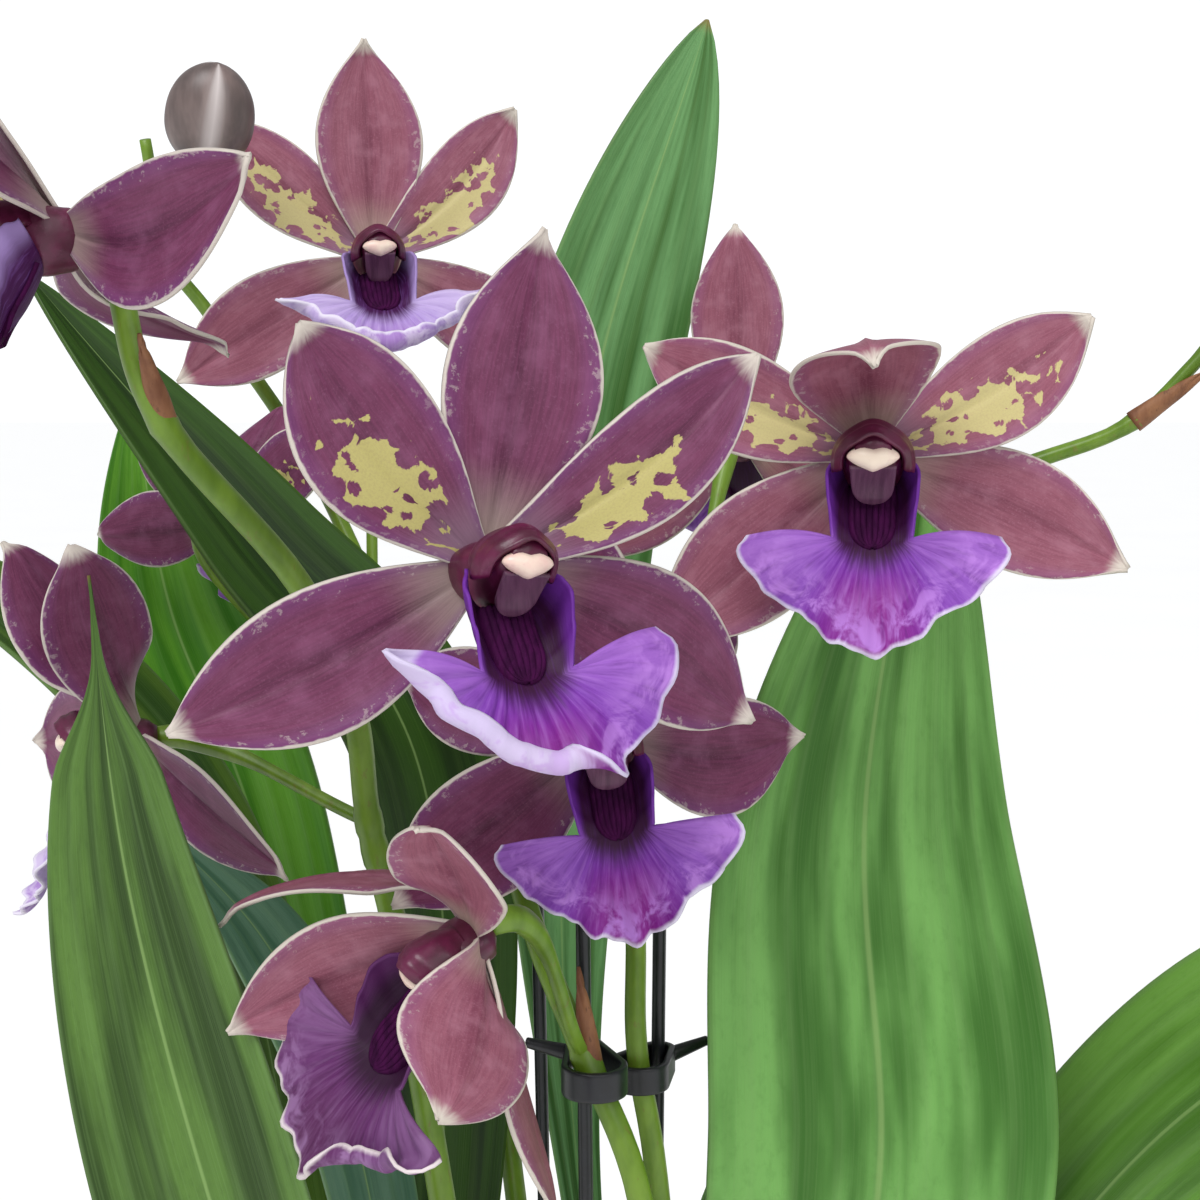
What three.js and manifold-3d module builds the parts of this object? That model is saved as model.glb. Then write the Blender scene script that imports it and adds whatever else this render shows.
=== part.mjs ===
// A potted zygopetalum orchid: a clay pot of bark, five pseudobulbs with their pleated leaves, four flower
// spikes on thin black stakes, ten open flowers and two buds. Millimetres, +Z up, origin under the middle
// of the pot, most of the flowers looking towards -Y.
import * as THREE from 'three';
import { mergeVertices } from 'three/addons/utils/BufferGeometryUtils.js';
import Module from 'manifold-3d';

const wasm = await Module();
wasm.setup();

// Driving dimensions.
const GAP = 0.35; // between pieces that touch
const POT = { height: 112, top: 65, base: 46, wall: 5, rimHeight: 19, rimOut: 3.5, floor: 7 };
const DRAIN = { count: 4, ring: 26, radius: 4.5 };
const BARK = { level: 97, chips: 19, chipLength: 22, chipWidth: 13, chipHeight: 7 };
const BULB = { radius: 12.5, height: 58, foot: 9 };
const TEPAL_THICKNESS = 0.8;
const LIP_THICKNESS = 0.7;
const LEAF_THICKNESS = 0.9;
const LEAF_FOOT = 3.0; // half width that the foot of a leaf keeps
const LEAF_TIP = 0.78; // how blunt the tip of a leaf is
const TIP_HALF = 0.35; // half width of every blade's very tip
const TEPAL_CUP = 0.14; // rise of a tepal's margins, as a share of its half width
const SIDE_SEPAL = { length: 37, width: 17.5, base: 3.6 };
const TOP_SEPAL = { length: 34, width: 18, base: 3.6 };
const PETAL = { length: 32.5, width: 17.5, base: 3.6 };
const KNOB_DEPTH = 2.4; // of the knob behind the place where the tepals meet
const STAKE_RADIUS = 1.0;
const CLIP = { height: 4, stakeHollow: 1.55, stemHollow: 3.4, wall: 1, tail: 6 };

// Base, lean of the top and height of each pseudobulb.
const BULBS = {
  right: { at: [28, 4], lean: [4, -1], height: 58 },
  back: { at: [6, 30], lean: [1, 3], height: 60 },
  back_left: { at: [-22, 28], lean: [-3, 4], height: 54 },
  left: { at: [-33, 3], lean: [-3, 2], height: 56 },
  front_left: { at: [-17, -21], lean: [-3, -4], height: 52 },
  front_right: { at: [15, -27], lean: [3, -3], height: 42 },
};

// Each leaf: midrib points from its foot to its tip, full width and the share of its length where it is
// widest, the way its upper face looks, how deeply it folds along the midrib, and how far its margins wave.
const LEAVES = {
  leaf_tall_right: {
    rib: [[31, 1.6, 147.2], [37, -8, 200], [41, -12, 240], [38, -12, 290], [46, -12, 346]],
    width: 50, peak: 0.5, face: [-0.05, -1, 0.1], fold: 0.10, wave: 1.6 },
  leaf_tall_back: {
    rib: [[6, 31.8, 148.5], [-4, 45, 212], [-7, 55, 270], [-2, 61, 345], [19, 66, 415]],
    width: 29, peak: 0.74, face: [0.3, -1, 0.1], fold: 0.18, wave: 0.8 },
  leaf_arching_right: {
    rib: [[34.4, 4, 146.6], [62, 0, 206], [88, -24, 254], [120, -50, 276], [164, -66, 248]],
    width: 42, peak: 0.56, face: [-0.5, -0.5, 0.9], fold: 0.16, wave: 1.2 },
  leaf_front_left: {
    rib: [[-20.6, -26.8, 141.5], [-37, -38, 200], [-50, -43, 248], [-60, -42, 288], [-64.5, -41, 326]],
    width: 27, peak: 0.5, face: [-0.25, -1, 0.1], fold: 0.18, wave: 0.8 },
  leaf_long_left: {
    rib: [[-34, 4, 144.8], [-25, 9, 226], [-28, 8, 292], [-54, 13, 327], [-90, 21, 368]],
    width: 21, peak: 0.56, face: [0.5, -0.8, 0.75], fold: 0.30, wave: 0.4 },
  leaf_back_left: {
    rib: [[-25, 30, 142.9], [-46, 44, 214], [-62, 52, 275], [-76, 54, 312], [-82, 56, 350]],
    width: 27, peak: 0.6, face: [0.1, -1, 0.1], fold: 0.20, wave: 0.6 },
  leaf_low_left: {
    rib: [[-37.5, 6.5, 144.5], [-50, 21, 218], [-66, 30, 277], [-98, 30, 314], [-140, 28, 330]],
    width: 22, peak: 0.6, face: [0.3, -0.3, 0.95], fold: 0.18, wave: 0.8 },
  leaf_slender_left: {
    rib: [[-19.2, -22.4, 140.5], [-30, -11, 206], [-38, -6, 244], [-50, -4, 268], [-66, -4, 286]],
    width: 15, peak: 0.56, face: [0.5, -0.8, 0.6], fold: 0.24, wave: 0.3 },
  leaf_back_right: {
    rib: [[8.6, 35, 148.7], [30, 60, 190], [54, 86, 208], [86, 108, 204], [118, 122, 176]],
    width: 38, peak: 0.56, face: [-0.4, -0.4, 0.9], fold: 0.16, wave: 1.0 },
  leaf_back_drooping: {
    rib: [[-25.6, 34, 142.6], [-42, 56, 184], [-62, 74, 214], [-86, 100, 212], [-110, 122, 184]],
    width: 36, peak: 0.56, face: [0.4, -0.4, 0.9], fold: 0.16, wave: 1.0 },
};

// Each spike: stem points from the bark up, and its radius at foot and top.
const SPIKES = {
  spike_left: { radius: [2.4, 1.6], stem: [[-9, -5, 78], [-9, -5, 106], [-13, -10, 165], [-21, -19, 225],
    [-28, -20, 271], [-32, -21, 290], [-33, -28, 307], [-38, -41, 325], [-51.5, -54, 345], [-56, -54, 359],
    [-58, -48, 371]] },
  spike_middle: { radius: [2.3, 1.6], stem: [[5, -9, 78], [5, -11, 106], [8, -28, 160], [8, -41, 212],
    [5.3, -40, 243.5], [-2.1, -36, 262], [-8.3, -31.5, 276], [-12.6, -28, 292], [-12.7, -30, 310],
    [-12.2, -34, 320]] },
  spike_right: { radius: [1.9, 0.95], stem: [[12, 6, 78], [12, 5, 106], [13.5, -8, 170], [8.6, -13, 232],
    [5.5, -12.5, 253], [5.2, -11, 267], [6, -6.5, 290], [13.5, 3, 312], [31, 11, 325], [63, 10.5, 337.5],
    [79, 7, 344], [89, 5, 354], [100, 6, 366]] },
  spike_back: { radius: [2.0, 1.0], stem: [[-9, 9, 78], [-9, 10, 106], [-10, 12, 170], [-14, 14, 225],
    [-22, 24, 262], [-33, 40, 300], [-50, 56, 335], [-69, 64, 362], [-77, 63, 374], [-79, 57, 393]] },
};

// Each flower: where its tepals meet, which way it looks (turn to the right of -Y, tilt up, roll clockwise),
// its size, the place along its spike that its stalk grows from, and its tepals, in the order left sepal,
// left petal, top sepal, right petal, right sepal. A tepal is [angle round the flower from its top, lean
// forward at its foot, lean forward at its tip, twist], in degrees, and most have no twist.
const FLOWERS = {
  flower_main: { at: [-10.6, -67.8, 329.6], turn: 18, tilt: 9, roll: 4, size: 1.1, lip: 0.94,
    from: ['spike_middle', 0.99],
    tepals: [[-119, 0, -6], [-43, 14, 2], [3, 10, -4], [43, 14, 0], [114, 0, -36]] },
  flower_right: { at: [36, -28.4, 340.8], turn: -4, tilt: 2, roll: 0, size: 0.99, lip: 0.99,
    from: ['spike_right', 0.64],
    tepals: [[-131, 4, 14], [-63, 14, -4], [0, 52, 84], [58, 14, 2], [116, 4, -12]] },
  flower_back: { at: [-39, 53, 372], turn: 12, tilt: 10, roll: -2, size: 1.06, lip: 1.0,
    from: ['spike_back', 0.6],
    tepals: [[-118, 0, -34], [-50, 4, -8], [0, 12, 4], [43, 14, 4], [120, 0, -24]] },
  flower_top_left: { at: [-61.3, -58.8, 367], turn: -66, tilt: -4, roll: -20, size: 1.0, lip: 1.0,
    from: ['spike_left', 0.97],
    tepals: [[-98, -20, -62], [-50, 34, 40], [0, 30, 24], [48, 44, 56], [102, -12, -34]] },
  flower_left: { at: [-66.2, -8, 299.6], turn: -76, tilt: 0, roll: 0, size: 0.98, lip: 1.0,
    from: ['spike_left', 0.5],
    tepals: [[-100, 30, 20], [-50, 30, 26], [-10, 36, 30], [25, 22, 12], [132, -14, -50]] },
  flower_below: { at: [2.6, -38, 302.2], turn: 0, tilt: 2, roll: -10, size: 0.96, lip: 0.925,
    from: ['spike_right', 0.52],
    tepals: [[-120, 4, -24], [-66, -6, -36], [-4, 10, -20], [52, -28, -58], [98, -16, -58]] },
  flower_low: { at: [-14.8, -60.4, 285.1], turn: -60, tilt: -25, roll: 25, size: 0.98, lip: 1.0,
    from: ['spike_middle', 0.555],
    tepals: [[-118, 14, 44], [-98, 22, 28], [0, 10, 70], [100, 30, 58, -60], [142, 12, 14]] },
  flower_behind_right: { at: [21.3, 23, 345.6], turn: 168, tilt: 4, roll: 4, size: 0.92, lip: 0.95,
    from: ['spike_right', 0.58],
    tepals: [[-124, 10, -6], [-96, 40, 40], [0, 12, 4], [96, 40, 40], [124, 10, -6]] },
  flower_behind_left: { at: [-61.7, 30, 337], turn: 150, tilt: 4, roll: 0, size: 0.84, lip: 0.9,
    from: ['spike_back', 0.5],
    tepals: [[-120, 8, -10], [-54, 14, -4], [0, 12, 0], [54, 14, -4], [120, 8, -10]] },
  flower_far_right: { at: [112, -16, 356], turn: 48, tilt: -4, roll: 4, size: 0.95, lip: 1.0,
    from: ['spike_right', 0.93],
    tepals: [[-118, 8, -12], [-52, 14, 0], [0, 12, 30], [50, 14, 0], [120, 8, -12]] },
};

// Each bud: middle, the way its tip points, length and radius, and where its stalk grows from.
const BUDS = {
  bud_back: { at: [-65, 36, 395.4], tip: [0.5, -0.85, 0.1], length: 22, radius: 7.4,
    from: ['spike_back', 0.97] },
  bud_right: { at: [106, 12, 379], tip: [0.4, 0.2, 0.9], length: 18, radius: 5.2,
    from: ['spike_right', 0.98] },
};

// Each bract: spike and place along it, the side it stands on, its length.
const BRACTS = [
  ['spike_left', 0.47, [0.2, -0.6, 1], 15], ['spike_left', 0.8, [0.55, -0.2, 1], 15],
  ['spike_left', 0.22, [-0.6, 0.3, 1], 17], ['spike_middle', 0.25, [0.6, 0.1, 1], 17],
  ['spike_middle', 0.56, [0.2, -0.7, 0.5], 15], ['spike_right', 0.2, [0.2, 0.7, 1], 17],
  ['spike_right', 0.84, [0.75, -0.4, 0.8], 14], ['spike_back', 0.2, [-0.5, 0.4, 1], 17],
  ['spike_back', 0.55, [-0.2, 0.7, 0.6], 14], ['spike_back', 0.9, [-0.8, -0.2, 0.6], 12],
];

// Each stake: foot and top of the rod.
const STAKES = {
  stake_middle: [[0, -17, 24], [-2.4, -30, 290]],
  stake_right: [[7, 0, 24], [8.8, -8, 282]],
  stake_back: [[-5, 4, 24], [-10, 7, 290]],
};

// Each clip: the stake and the spike that it holds together, its height, and the way its finger points,
// anticlockwise from +X.
const CLIPS = {
  clip_middle: { stake: 'stake_middle', spike: 'spike_middle', z: 259, tail: 180 },
  clip_right: { stake: 'stake_right', spike: 'spike_right', z: 251, tail: 20 },
  clip_right_low: { stake: 'stake_right', spike: 'spike_right', z: 178, tail: 0 },
  clip_back: { stake: 'stake_back', spike: 'spike_back', z: 190, tail: 170 },
};

// Repeatable random numbers from 0 to 1.
function random(seed) {
  let state = seed;
  return () => {
    state = (state * 1664525 + 1013904223) % 4294967296;
    return state / 4294967296;
  };
}

const vector = (point) => new THREE.Vector3(...point);
const radians = THREE.MathUtils.degToRad;

// A geometry's closed surface as a solid, turned to face out.
function solidOf(geometry) {
  const bare = new THREE.BufferGeometry();
  bare.setAttribute('position', geometry.getAttribute('position'));
  if (geometry.index) bare.setIndex(geometry.index);
  const merged = mergeVertices(bare, 1e-3);
  const corners = merged.index.array;
  const triangles = [];
  for (let i = 0; i < corners.length; i += 3) {
    const [a, b, c] = [corners[i], corners[i + 1], corners[i + 2]];
    if (a !== b && b !== c && a !== c) triangles.push([a, b, c]);
  }
  const vertices = Float32Array.from(merged.attributes.position.array);
  const make = (list) => new wasm.Manifold(
    new wasm.Mesh({ numProp: 3, vertProperties: vertices, triVerts: Uint32Array.from(list.flat()) }));
  const made = make(triangles);
  return made.volume() > 0 ? made : make(triangles.map(([a, b, c]) => [a, c, b]));
}

// A solid's surface as a geometry for a mesh.
function geometryOf(solid) {
  const mesh = solid.getMesh();
  const geometry = new THREE.BufferGeometry();
  geometry.setAttribute('position', new THREE.Float32BufferAttribute(mesh.vertProperties, 3));
  geometry.setIndex(new THREE.BufferAttribute(mesh.triVerts, 1));
  geometry.computeVertexNormals();
  return geometry;
}

// The largest body of a solid, without its loose scraps and sealed hollows.
const largest = (solid) => solid.decompose().sort((a, b) => b.volume() - a.volume())[0];

const joined = (solids) => largest(solids.reduce((whole, part) => whole.add(part)));

// A closed geometry from its vertices and faces of three corners.
function closed(points, faces) {
  const geometry = new THREE.BufferGeometry().setFromPoints(points);
  geometry.setIndex(faces.flat());
  return geometry;
}

// A thin blade round a grid of points, with the same triangles on both faces.
function blade(grid, thickness) {
  const rows = grid.length;
  const columns = grid[0].length;
  const at = (i, j) => grid[Math.min(Math.max(i, 0), rows - 1)][Math.min(Math.max(j, 0), columns - 1)];
  const front = [];
  const back = [];
  for (let i = 0; i < rows; i++) {
    for (let j = 0; j < columns; j++) {
      const along = at(i + 1, j).clone().sub(at(i - 1, j));
      const across = at(i, j + 1).clone().sub(at(i, j - 1));
      const offset = along.cross(across).normalize().multiplyScalar(thickness / 2);
      front.push(grid[i][j].clone().add(offset));
      back.push(grid[i][j].clone().sub(offset));
    }
  }
  const faces = [];
  const half = rows * columns;
  for (let i = 0; i < rows - 1; i++) {
    for (let j = 0; j < columns - 1; j++) {
      const a = i * columns + j;
      const d = a + columns;
      const [b, c] = [a + 1, d + 1];
      faces.push([a, b, c], [a, c, d], [half + a, half + c, half + b], [half + a, half + d, half + c]);
    }
  }
  const rim = [];
  for (let j = 0; j < columns - 1; j++) rim.push(j);
  for (let i = 0; i < rows - 1; i++) rim.push(i * columns + columns - 1);
  for (let j = columns - 1; j > 0; j--) rim.push((rows - 1) * columns + j);
  for (let i = rows - 1; i > 0; i--) rim.push(i * columns);
  rim.forEach((a, k) => {
    const b = rim[(k + 1) % rim.length];
    faces.push([b, a, half + a], [b, half + a, half + b]);
  });
  return closed([...front, ...back], faces);
}

// A closed skin over rings of the same number of points, with a fan over each end.
function loft(rings) {
  const sides = rings[0].length;
  const points = rings.flat();
  const faces = [];
  for (let k = 0; k < rings.length - 1; k++) {
    for (let i = 0; i < sides; i++) {
      const next = (i + 1) % sides;
      const [a, b] = [k * sides + i, k * sides + next];
      faces.push([a, b, b + sides], [a, b + sides, a + sides]);
    }
  }
  const last = (rings.length - 1) * sides;
  for (let i = 1; i < sides - 1; i++) faces.push([0, i + 1, i], [last, last + i, last + i + 1]);
  return closed(points, faces);
}

// Points on an ellipse round a middle, in the plane of two unit vectors.
function ring(middle, right, up, width, height, sides) {
  return Array.from({ length: sides }, (_, i) => {
    const angle = (2 * Math.PI * i) / sides;
    return middle.clone().addScaledVector(right, width * Math.cos(angle))
      .addScaledVector(up, height * Math.sin(angle));
  });
}

// A round rod along a curve, with its radius given by a function of the place from 0 to 1.
function rod(curve, radiusAt, sides, steps) {
  const rings = [];
  let up = new THREE.Vector3(0.3, 0.9, 0.2).normalize();
  for (let k = 0; k <= steps; k++) {
    const place = k / steps;
    const along = curve.getTangent(place);
    const right = up.clone().cross(along).normalize();
    up = along.clone().cross(right).normalize();
    rings.push(ring(curve.getPoint(place), right, up, radiusAt(place), radiusAt(place), sides));
  }
  return loft(rings);
}

const smoothCurve = (points) => new THREE.CatmullRomCurve3(points.map(vector), false, 'catmullrom', 0.5);

// The half width of a blade, as a share of its greatest, at a place from its foot (0) to its tip (1).
function outline(place, foot, tip) {
  const peak = foot / (foot + tip);
  const greatest = peak ** foot * (1 - peak) ** tip;
  return (place ** foot * (1 - place) ** tip) / greatest;
}

// A solid turned round the Z axis from its profile of radii and heights.
function turned(profile, sides) {
  const points = profile.map(([radius, z]) => new THREE.Vector2(radius, z));
  return solidOf(new THREE.LatheGeometry(points, sides).rotateX(Math.PI / 2));
}

function potSolid() {
  const { height, top, base, wall, rimHeight, rimOut, floor } = POT;
  const belowRim = base + ((top - rimOut - base) * (height - rimHeight)) / height;
  const inside = (z) => base - wall + ((top - rimOut - base) * z) / height;
  const profile = [[0, 0], [base - 2, 0], [base, 2], [belowRim, height - rimHeight],
    [top - 0.8, height - rimHeight + 1.5], [top, height - 2.5], [top - 1.5, height],
    [inside(height) + 1, height], [inside(height), height - 2], [inside(floor), floor], [0, floor]];
  let pot = turned(profile, 30);
  for (let i = 0; i < DRAIN.count; i++) {
    const angle = ((i + 0.5) * 2 * Math.PI) / DRAIN.count;
    const hole = new THREE.CylinderGeometry(DRAIN.radius, DRAIN.radius, floor * 4, 10).rotateX(Math.PI / 2);
    hole.translate(DRAIN.ring * Math.cos(angle), DRAIN.ring * Math.sin(angle), 0);
    pot = pot.subtract(solidOf(hole));
  }
  return pot;
}

// A pseudobulb from its sunken foot to its top, swollen in the middle and lightly ribbed. grow makes it
// larger all round, for the hollow that it sits in.
function bulbSolid({ at, lean, height }, grow = 0) {
  const sides = 10;
  const levels = [[0, 0.5], [0.14, 0.86], [0.35, 1], [0.6, 0.9], [0.82, 0.6], [1, 0.3]];
  const rings = levels.map(([place, share], level) => {
    const rise = level === 0 ? -grow : level === levels.length - 1 ? grow : 0;
    const middle = new THREE.Vector3(at[0] + lean[0] * place, at[1] + lean[1] * place,
      BARK.level - BULB.foot + height * place + rise);
    return Array.from({ length: sides }, (_, i) => {
      const angle = (2 * Math.PI * i) / sides;
      const rib = i % 2 ? 0.94 : 1;
      const radius = BULB.radius * (height / BULB.height) ** 0.5 * share * rib + grow;
      return middle.clone().add(new THREE.Vector3(radius * Math.cos(angle), radius * Math.sin(angle), 0));
    });
  });
  return solidOf(loft(rings));
}

// A leaf blade round its midrib, folded along it, waved at its margins.
function leafSolid({ rib, width, peak, face, fold, wave }) {
  const curve = smoothCurve(rib);
  const [rows, across] = [10, 2];
  const grid = [];
  for (let i = 0; i <= rows; i++) {
    const place = i / rows;
    const along = curve.getTangent(place);
    const side = along.clone().cross(vector(face)).normalize();
    const normal = side.clone().cross(along).normalize();
    const share = outline(place, (LEAF_TIP * peak) / (1 - peak), LEAF_TIP);
    const half = Math.max(TIP_HALF, (width / 2) * share + LEAF_FOOT * (1 - place) ** 4);
    const crease = fold + 0.55 * (1 - place) ** 4;
    const row = [];
    for (let j = -across; j <= across; j++) {
      const t = j / across;
      const waved = wave * Math.sin(9 * place + 1.5 * Math.sign(t)) * t * t * (half / (width / 2));
      const lift = crease * Math.abs(t) * half + waved;
      row.push(curve.getPoint(place).addScaledVector(side, t * half).addScaledVector(normal, lift));
    }
    grid.push(row);
  }
  return solidOf(blade(grid, LEAF_THICKNESS));
}

// One tepal in the flower's own frame: x to the right, y up, z out of the flower. It leaves the middle at
// an angle, tilted forward, and bends towards its tip.
function tepalSolid(shape, [angleDegrees, startLean, endLean, twist = 0], size) {
  const [rows, across] = [5, 1];
  const angle = radians(angleDegrees);
  const out = new THREE.Vector3(Math.sin(angle), Math.cos(angle), 0);
  const side = new THREE.Vector3(Math.cos(angle), -Math.sin(angle), 0);
  const [first, turn] = [radians(startLean), radians(endLean - startLean + 0.01)];
  const length = shape.length * size;
  const grid = [];
  for (let i = 0; i <= rows; i++) {
    const place = i / rows;
    const tilt = first + turn * place;
    const reach = 1.2 + (length * (Math.sin(tilt) - Math.sin(first))) / turn;
    const rise = (length * (Math.cos(first) - Math.cos(tilt))) / turn;
    const normal = out.clone().multiplyScalar(-Math.sin(tilt)).add(new THREE.Vector3(0, 0, Math.cos(tilt)));
    const wide = (shape.width / 2) * outline(place, 1.2, 0.85) + (shape.base / 2) * (1 - place) ** 3;
    const half = Math.max(TIP_HALF, size * wide);
    const twisted = radians(twist) * THREE.MathUtils.smoothstep(place, 0, 0.45);
    const [c, s] = [Math.cos(twisted), Math.sin(twisted)];
    const row = [];
    for (let j = -across; j <= across; j++) {
      const t = j / across;
      const [over, raised] = [t * half, TEPAL_CUP * t * t * half];
      row.push(new THREE.Vector3(0, 0, rise).addScaledVector(out, reach)
        .addScaledVector(side, over * c - raised * s).addScaledVector(normal, over * s + raised * c));
    }
    grid.push(row);
  }
  return solidOf(blade(grid, TEPAL_THICKNESS));
}

// The knob where everything meets, the hooded column that stands on it, and its foot under the lip.
function columnSolid() {
  const [right, up] = [new THREE.Vector3(1, 0, 0), new THREE.Vector3(0, 1, 0)];
  const levels = [[0, -KNOB_DEPTH, 1, 1], [0, -1.2, 2.6, 2.7], [0.2, 1, 3, 3], [0.9, 5, 3.2, 2.5],
    [0.8, 9, 4.5, 2.7], [0, 11.8, 3.9, 2.5], [-0.9, 13.4, 2.0, 1.3]];
  const column = loft(levels.map(([y, z, width, height]) =>
    ring(new THREE.Vector3(0, y, z), right, up, width, height, 8)));
  const footAt = [[0, -1.5, 0], [0, -3.7, 2.1]];
  const foot = loft(footAt.map((point) => ring(vector(point), right, up, 1.8, 0.9, 4)));
  return joined([column, foot].map(solidOf));
}

// A point of the lip: place runs from its root (0) by the neck (0.5) to the margin (1), t from side to side.
function lipPoint(place, t) {
  const side = Math.sign(t);
  const reach = Math.abs(t);
  const trough = Math.min(place * 2, 1);
  const bulge = Math.sin(Math.PI * trough);
  const half = 3 + 3 * trough + 1.4 * bulge;
  const rise = (0.8 + 7.2 * bulge) * reach ** 2.2;
  const neck = new THREE.Vector3(side * half * (1 - (1 - reach) ** 1.7),
    -4.6 - 7.9 * trough - 0.7 * bulge + 0.9 * rise, 3.1 + 6.2 * trough - 0.4 * bulge + 0.45 * rise);
  if (place <= 0.5) return neck;
  const spread = place * 2 - 1;
  const angle = radians(96) * t;
  const corner = THREE.MathUtils.smoothstep(reach, 0.8, 1);
  const radius = (13.5 + 4.8 * reach ** 2.5) * (1 - 0.1 * corner);
  const wave = 0.9 * Math.sin(11 * t) * reach;
  const margin = new THREE.Vector3(radius * Math.sin(angle), -12.2 - radius * Math.cos(angle),
    10.5 + 5 * Math.cos(angle) + wave);
  return neck.lerp(margin, spread).add(new THREE.Vector3(0, 0, 1.3 * Math.sin(Math.PI * spread)));
}

function lipSolid(size) {
  const [rows, across] = [5, 4];
  const grid = [];
  for (let i = 0; i <= rows; i++) {
    const row = [];
    for (let j = -across; j <= across; j++) row.push(lipPoint(i / rows, j / across).multiplyScalar(size));
    grid.push(row);
  }
  return solidOf(blade(grid, LIP_THICKNESS));
}

// The turned frame of a flower, as three unit vectors: to its right, up, and out of its face.
function flowerAxes({ turn, tilt, roll }) {
  const [a, e, r] = [radians(turn), radians(tilt), radians(roll)];
  const out = new THREE.Vector3(Math.sin(a) * Math.cos(e), -Math.cos(a) * Math.cos(e), Math.sin(e));
  const up = new THREE.Vector3(0, 0, 1).addScaledVector(out, -out.z).normalize();
  const right = up.clone().cross(out);
  return {
    out,
    up: up.clone().multiplyScalar(Math.cos(r)).addScaledVector(right, Math.sin(r)),
    right: right.clone().multiplyScalar(Math.cos(r)).addScaledVector(up, -Math.sin(r)),
  };
}

function tepalsSolid({ tepals, size }) {
  const shapes = [SIDE_SEPAL, PETAL, TOP_SEPAL, PETAL, SIDE_SEPAL];
  const blades = tepals.map((tepal, i) => tepalSolid(shapes[i], tepal, size));
  return joined([columnSolid(), ...blades]);
}

function budSolid({ length, radius }) {
  const levels = [[-0.5, 0.25], [-0.36, 0.75], [-0.1, 1], [0.18, 0.9], [0.4, 0.5], [0.5, 0.12]];
  const [right, up] = [new THREE.Vector3(1, 0, 0), new THREE.Vector3(0, 1, 0)];
  return solidOf(loft(levels.map(([place, share]) => ring(new THREE.Vector3(0, 0, place * length), right, up,
    radius * share, radius * share * 0.86, 8))));
}

// A stalk from a place on its spike to the back of a flower or bud, thicker at the ovary.
function stalkSolid(spikeName, place, end, out) {
  const start = smoothCurve(SPIKES[spikeName].stem).getPoint(place);
  const reach = start.distanceTo(end);
  const curve = new THREE.CubicBezierCurve3(start, start.clone().lerp(end, 0.3),
    end.clone().addScaledVector(out, -reach * 0.28), end);
  return solidOf(rod(curve, (p) => 1.15 + 0.75 * THREE.MathUtils.smoothstep(p, 0.45, 0.8), 5, 4));
}

function bractSolid([spikeName, place, way, length]) {
  const start = smoothCurve(SPIKES[spikeName].stem).getPoint(place);
  const along = vector(way).normalize();
  const end = start.clone().addScaledVector(along, length);
  const right = new THREE.Vector3(0, 1, 0.1).cross(along).normalize();
  const up = along.clone().cross(right);
  const rings = [[0, 2.6], [0.45, 2.8], [1, 0.4]].map(([share, half]) =>
    ring(start.clone().lerp(end, share), right, up, half, half * 0.45, 6));
  return solidOf(loft(rings));
}

// A spike's stem alone. grow makes it larger all round, for the hole that it stands in.
function stemSolid({ stem, radius }, grow = 0) {
  const [[x, y, z], ...rest] = stem;
  const curve = smoothCurve([[x, y, z - grow], ...rest]);
  const radiusAt = (place) => radius[0] + (radius[1] - radius[0]) * place + grow;
  return solidOf(rod(curve, radiusAt, 6, Math.round(rest.length * 1.3)));
}

function spikeSolid(name) {
  const parts = [stemSolid(SPIKES[name])];
  for (const flower of Object.values(FLOWERS)) {
    if (flower.from[0] !== name) continue;
    const { out } = flowerAxes(flower);
    const foot = vector(flower.at).addScaledVector(out, -KNOB_DEPTH - GAP);
    parts.push(stalkSolid(name, flower.from[1], foot, out));
  }
  for (const bud of Object.values(BUDS)) {
    if (bud.from[0] !== name) continue;
    const out = vector(bud.tip).normalize();
    const foot = vector(bud.at).addScaledVector(out, -bud.length / 2 - GAP);
    parts.push(stalkSolid(name, bud.from[1], foot, out));
  }
  for (const bract of BRACTS) if (bract[0] === name) parts.push(bractSolid(bract));
  return joined(parts);
}

function stakeSolid([foot, top], grow = 0) {
  const [start, end] = [vector(foot), vector(top)];
  start.z -= grow;
  return solidOf(rod(new THREE.LineCurve3(start, end), () => STAKE_RADIUS + grow, 8, 1));
}

// Where a line or curve passes a height.
function pointAtHeight(curve, z) {
  let [low, high] = [0, 1];
  for (let i = 0; i < 40; i++) {
    const middle = (low + high) / 2;
    if (curve.getPoint(middle).z < z) low = middle;
    else high = middle;
  }
  return curve.getPoint(low);
}

// A band round a stake and a stem, drawn tight over both, with a finger tail at the stake. Its own X axis
// runs from the stake to the stem.
function clipSolid({ stake, spike, z, tail }) {
  const { height, stakeHollow, stemHollow, wall } = CLIP;
  const stakeAt = pointAtHeight(new THREE.LineCurve3(...STAKES[stake].map(vector)), z);
  const stemAt = pointAtHeight(smoothCurve(SPIKES[spike].stem), z);
  const span = stakeAt.distanceTo(stemAt);
  const turn = Math.atan2(stemAt.y - stakeAt.y, stemAt.x - stakeAt.x);
  const touch = Math.acos((stakeHollow - stemHollow) / span);
  const band = (grow, depth) => {
    const shape = new THREE.Shape();
    shape.absarc(span, 0, stemHollow + grow, -touch, touch, false);
    shape.absarc(0, 0, stakeHollow + grow, touch, 2 * Math.PI - touch, false);
    const options = { depth, bevelEnabled: false, curveSegments: 3 };
    return solidOf(new THREE.ExtrudeGeometry(shape, options).translate(0, 0, -depth / 2));
  };
  const finger = new THREE.BoxGeometry(CLIP.tail, 1.3, height * 0.8);
  finger.translate(stakeHollow + wall / 2 + CLIP.tail / 2, 0, 0).rotateZ(radians(tail) - turn);
  const solid = band(wall, height).add(solidOf(finger)).subtract(band(0, height * 2));
  return { solid, turn, at: stakeAt };
}

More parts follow.
